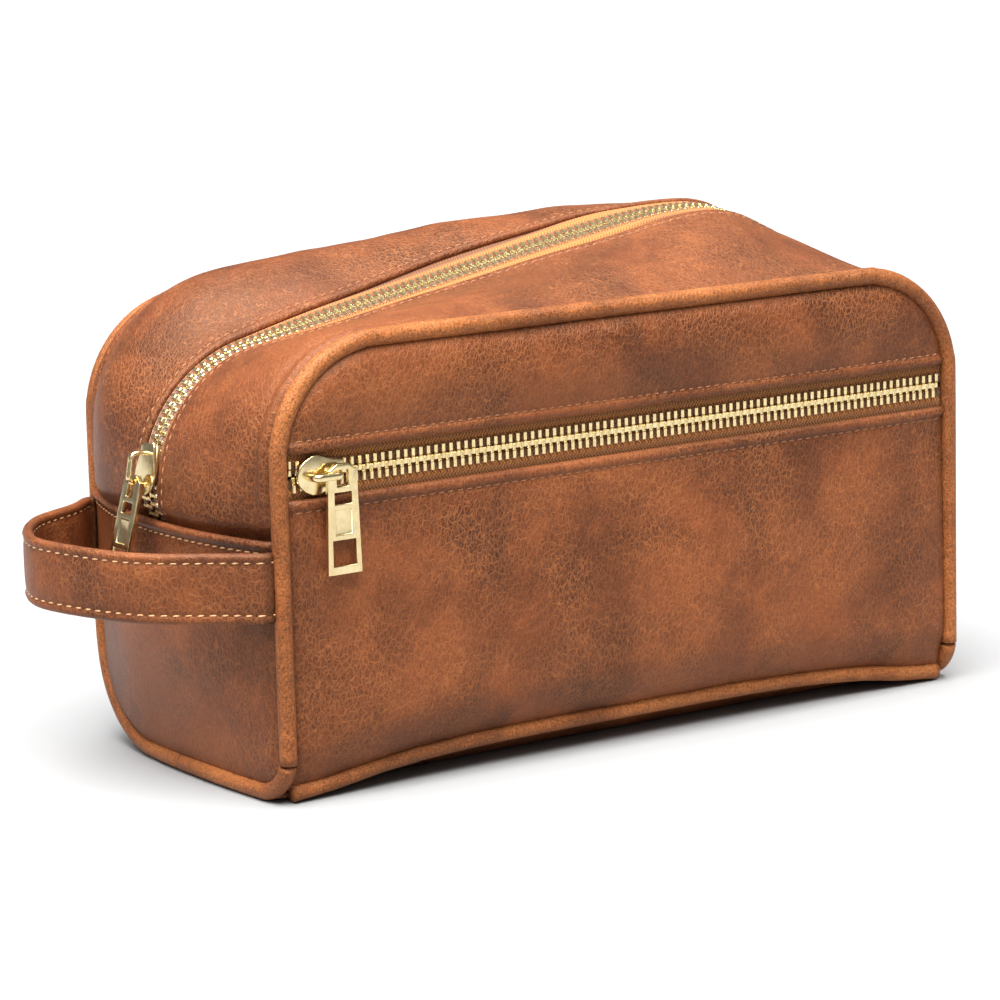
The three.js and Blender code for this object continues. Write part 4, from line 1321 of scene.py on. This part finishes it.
def make_bail(name, height):
    """A rounded bar that rises from the plate, runs along the zip and goes down again."""
    foot = PLATE_TOP - 0.4
    reach = BAIL_HALF - 0.75
    top = height - 0.75
    path = [(-reach, foot), (-reach, mix(foot, top, 0.45)), (-reach * 0.93, mix(foot, top, 0.80)),
            (-reach * 0.72, top), (-reach * 0.3, top + 0.05), (reach * 0.3, top + 0.05), (reach * 0.72, top),
            (reach * 0.93, mix(foot, top, 0.80)), (reach, mix(foot, top, 0.45)), (reach, foot)]
    line = Line(through([Vector((x, 0, z)) for x, z in path], 8))
    turns = np.linspace(0, 2 * math.pi, 14, endpoint=False)
    section = [(0.72 * math.cos(t), 1.15 * math.sin(t)) for t in turns]
    return sweep(name, line, section, 64, Vector((-1, 0, 0)), gold)


PULL_EYE_TOP = 3.4
PULL_LONG = 34.0


def make_pull(name):
    """The pull, hanging down -Y from its eye at the origin, with a slot and a window cut below the eye."""
    top, bottom = PULL_EYE_TOP, PULL_EYE_TOP - PULL_LONG
    rows = [bottom, bottom + 2.6, bottom + 10.6, bottom + 12.2, -10.6, -9.0, -5.3, -3.6, 1.6, top]
    inner = {0: 4.1, 1: 4.1, 2: 4.1, 3: 2.9, 4: 2.9, 5: 3.05, 6: 3.05, 7: 2.1, 8: 2.1, 9: 2.1}
    holes = {1, 5, 7}
    panel_row = 3
    tab = bmesh.new()
    bmesh.ops.create_grid(tab, x_segments=3, y_segments=len(rows) - 1, size=0.5)
    for vert in tab.verts:
        column, row = round((vert.co.x + 0.5) * 3), round((vert.co.y + 0.5) * (len(rows) - 1))
        y = rows[row]
        half = mix(6.0, 5.0, (y - bottom) / (top - bottom))
        x = {0: -half, 1: -inner[row], 2: inner[row], 3: half}[column]
        if row == len(rows) - 1:
            y -= 1.5 if column in (0, 3) else 0
            x *= 0.84 if column in (0, 3) else 1
        vert.co = (x, y, 0)
    middle = [f for f in tab.faces if abs(f.calc_center_median().x) < 0.1]
    middle.sort(key=lambda face: face.calc_center_median().y)
    panel = middle[panel_row]
    bmesh.ops.delete(tab, geom=[middle[k] for k in holes], context="FACES_ONLY")
    faces = tab.faces[:]
    raised = bmesh.ops.extrude_face_region(tab, geom=faces, use_keep_orig=True)["geom"]
    upper = [g for g in raised if isinstance(g, bmesh.types.BMVert)]
    bmesh.ops.translate(tab, vec=(0, 0, PULL_THICK / 2), verts=upper)
    lower = list({v for f in faces if f.is_valid for v in f.verts})
    bmesh.ops.translate(tab, vec=(0, 0, -PULL_THICK / 2), verts=lower)
    bmesh.ops.recalc_face_normals(tab, faces=tab.faces)
    fronts = [f for f in tab.faces if abs(f.normal.z) > 0.9 and abs(f.calc_center_median().x) < 0.1
              and rows[panel_row] < f.calc_center_median().y < rows[panel_row + 1]]
    for face in fronts:
        side = 1 if face.normal.z > 0 else -1
        bmesh.ops.inset_region(tab, faces=[face], thickness=0.25)
        bmesh.ops.translate(tab, vec=(0, 0, -0.42 * side), verts=face.verts)
    sharp = [e for e in tab.edges if e.is_manifold and e.calc_face_angle(0) > 0.5]
    bmesh.ops.bevel(tab, geom=sharp, offset=0.26, offset_type="OFFSET", segments=3, profile=0.5,
                    affect="EDGES", material=-1, clamp_overlap=True)
    return to_object(tab, name, gold)


# %% Placing both sliders
def carry(piece, place):
    """Moves a mesh to its place, given in millimetres."""
    matrix = place.copy()
    matrix.translation = matrix.translation * MM
    piece.data.transform(matrix)


def place_metal(piece, place, body, node):
    carry(piece, place)
    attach(piece, body)
    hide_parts(node)


QUARTER = math.radians(90)
front_place = Matrix.Translation((FRONT_SLIDER_X, TAPE_Y, FRONT_ZIP)) @ Matrix.Rotation(QUARTER, 4, "X")
pull_middle = (pull_low + pull_high) / 2
front_pull_spot = (pull_middle.x, pull_middle.y, FRONT_ZIP)
front_pull_place = Matrix.Translation(front_pull_spot) @ Matrix.Rotation(QUARTER, 4, "X")
front_plates = to_object(make_slider_body(), "front_slider_plates", gold)
place_metal(front_plates, front_place, "pocket_slider", "front_slider_body")
place_metal(make_bail("front_slider_arch", BAIL_TOP), front_place, "pocket_slider", "front_slider_bail")
place_metal(make_pull("front_pull"), front_pull_place, "pocket_pull", "front_pull_tab")

# The main slider stands on the zip's corner, turned to the zip's heading there.
slider_spot, slider_heading, slider_out = zip_frame(MAIN_SLIDER_AT)[:3]
main_place = axes(slider_spot, slider_heading, slider_out)
main_plates = to_object(make_slider_body(), "main_slider_plates", gold)
place_metal(main_plates, main_place, "main_slider", "main_slider_body")
place_metal(make_bail("main_slider_arch", BAIL_TOP), main_place, "main_slider", "main_slider_bail")
MAIN_PULL_TILT = math.radians(15)
pull_joint = next(joint for joint in frame["joints"] if joint["name"] == "main_pull_swing")
pull_eye = Vector(pull_joint["pos_m"]) / MM
RIM_OVER_PIVOT = 0.9
main_pull_place = (Matrix.Translation(pull_eye) @ Matrix.Rotation(MAIN_PULL_TILT, 4, "Y")
                   @ Matrix.Rotation(-QUARTER, 4, "Z") @ Matrix.Rotation(QUARTER, 4, "X")
                   @ Matrix.Translation((0, RIM_OVER_PIVOT - PULL_EYE_TOP, 0)))
place_metal(make_pull("main_pull"), main_pull_place, "main_pull", "main_pull_tab")
print("main slider at", [round(c, 1) for c in slider_spot])

# %% [markdown]
# ## Inside
#
# The bag is lined with brown cloth, a loose tub that follows the bag's side view. A cloth wall divides
# the pocket from the main compartment, and a board under the lining keeps the base flat.

# %% Lining, pocket wall and board
lining_low, lining_high = box_mm("lining")
tub_side_view = Line(through([
    Vector((0, lining_low.y, lining_high.z)),
    Vector((0, lining_low.y + 0.6, mix(lining_low.z, lining_high.z, 0.6))),
    Vector((0, lining_low.y, mix(lining_low.z, lining_high.z, 0.25))),
    Vector((0, lining_low.y + 3.0, lining_low.z + 9)),
    Vector((0, lining_low.y + 14, lining_low.z + 0.4)),
    Vector((0, BACK_FOOT_Y - 12, lining_low.z)),
    Vector((0, BACK_FOOT_Y + 6, lining_low.z + 1.2)),
    Vector((0, mix(BACK_FOOT_Y, lining_high.y, 0.7), lining_low.z + 11)),
    Vector((0, lining_high.y - 1.5, BACK_FOOT * 0.8)),
    Vector((0, lining_high.y - 0.8, mix(lining_low.z, lining_high.z, 0.6))),
    Vector((0, lining_high.y, lining_high.z)),
], 8))


def lining_tub(u, v):
    """The trough and both end walls in one sheet: u runs along the bag, and the end walls close inwards."""
    place = tub_side_view.at(v * tub_side_view.length)
    reach = lining_high.x
    wall = 0.16
    beside = max(0, (wall - u) / wall, (u - 1 + wall) / wall)
    side = -1 if u < 0.5 else 1
    if beside:
        centre = Vector((0, mix(lining_low.y, lining_high.y, 0.5), lining_high.z))
        place = place.lerp(centre, beside**1.1 * 0.985)
        place.x = side * (reach - 0.4 * smooth(beside * 4))
    else:
        place.x = mix(-reach, reach, (u - wall) / (1 - 2 * wall))
    ripple = wander(place.x + place.y, place.z * 0.5, 1.2, 30, 60.0) * (1 - abs(beside))
    place.y += ripple if v < 0.5 else -abs(ripple)
    return place, 0.0


tub = make_sheet("lining_tub", lining_tub, 90, 60, 0.8, lining_cloth)
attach(tub, "bag")
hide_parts("lining")
wall_low, wall_high = box_mm("pocket_lining")


def pocket_wall(u, v):
    x, z = mix(wall_low.x, wall_high.x, u), mix(wall_low.z, wall_high.z, v)
    return Vector((x, wall_low.y + wander(x, z * 0.5, 0.9, 40, 70.0), z)), 0.0


divider = make_sheet("pocket_divider", pocket_wall, 60, 20, 0.8, lining_cloth)
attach(divider, "bag")
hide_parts("pocket_lining")
bpy.data.objects["base_board"].data.materials.clear()
bpy.data.objects["base_board"].data.materials.append(board)
print("inside done")

# %% [markdown]
# ## Studio
#
# A pale floor under a glowing patch of sky, and three weak soft lights from the front and the left. They
# are big beside the bag, so their reflections in the leather are broad and calm.

# %% Floor, lights and camera
floor_mesh = bmesh.new()
bmesh.ops.create_grid(floor_mesh, x_segments=1, y_segments=1, size=20000)
floor = to_object(floor_mesh, "floor", shade=False)
paper = Finish("floor_paper")
paper.set(paper.shader, "Base Color", (0.31, 0.31, 0.31, 1))
paper.set(paper.shader, "Roughness", 0.95)
paper.set(paper.shader, "Specular IOR Level", 0.0)
floor.data.materials.append(paper.material)

# The world is a wide soft light overhead in a dim room.
world = bpy.data.worlds.new("studio")
world.use_nodes = True
sky = world.node_tree
direction = sky.nodes.new("ShaderNodeTexCoord")
split = sky.nodes.new("ShaderNodeVectorMath")
split.operation = "DOT_PRODUCT"
split.inputs[1].default_value = Vector((-0.16, -0.20, 0.967)).normalized()
glow = sky.nodes.new("ShaderNodeValToRGB")
for element, (position, level) in zip(glow.color_ramp.elements, ((0.78, 0.014), (0.95, 1.0))):
    element.position = position
    element.color = (level, level, level, 1)
sky.links.new(direction.outputs["Generated"], split.inputs[0])
sky.links.new(split.outputs["Value"], glow.inputs["Fac"])
sky.links.new(glow.outputs["Color"], sky.nodes["Background"].inputs["Color"])
sky.nodes["Background"].inputs["Strength"].default_value = 14.8
bpy.context.scene.world = world


def soft_light(name, place, aim, size, power, colour=(1, 1, 1)):
    lamp = bpy.data.lights.new(name, "AREA")
    lamp.shape = "RECTANGLE"
    lamp.size, lamp.size_y = size
    lamp.energy = power
    lamp.color = colour
    holder = bpy.data.objects.new(name, lamp)
    holder.location = place
    holder.rotation_euler = (Vector(aim) - Vector(place)).to_track_quat("-Z", "Y").to_euler()
    bpy.context.scene.collection.objects.link(holder)
    return holder


soft_light("front_left", (-0.75, -0.95, 0.55), (-0.05, 0, 0.09), (0.5, 0.35), 0.35)
soft_light("left_top", (-0.9, -0.35, 1.0), (-0.08, 0, 0.10), (0.6, 0.6), 3.4)
soft_light("left_fill", (-1.1, 0.1, 0.5), (-0.1, 0, 0.08), (0.5, 0.5), 0.5)

# The camera: az and el are where it stands, seen from the bag.
AZ, EL, ROLL = math.radians(-33.0), math.radians(11.1), math.radians(-1.47)
DISTANCE = 1.325
TARGET = Vector((0, 0, 0.071))
back = Vector((math.sin(AZ) * math.cos(EL), -math.cos(AZ) * math.cos(EL), math.sin(EL)))
right = Vector((math.cos(AZ), math.sin(AZ), 0))
up = back.cross(right)
camera_right = right * math.cos(ROLL) + up * math.sin(ROLL)
camera_up = up * math.cos(ROLL) - right * math.sin(ROLL)
lens = bpy.data.cameras.new("camera")
lens.lens = 144
lens.sensor_width = 36
lens.clip_end = 20
camera = bpy.data.objects.new("camera", lens)
pose = Matrix((camera_right, camera_up, back)).transposed().to_4x4()
pose.translation = TARGET + back * DISTANCE - camera_right * 0.010 - camera_up * 0.0008
camera.matrix_world = pose
bpy.context.scene.collection.objects.link(camera)
bpy.context.scene.camera = camera
bpy.context.scene.view_settings.view_transform = "Standard"
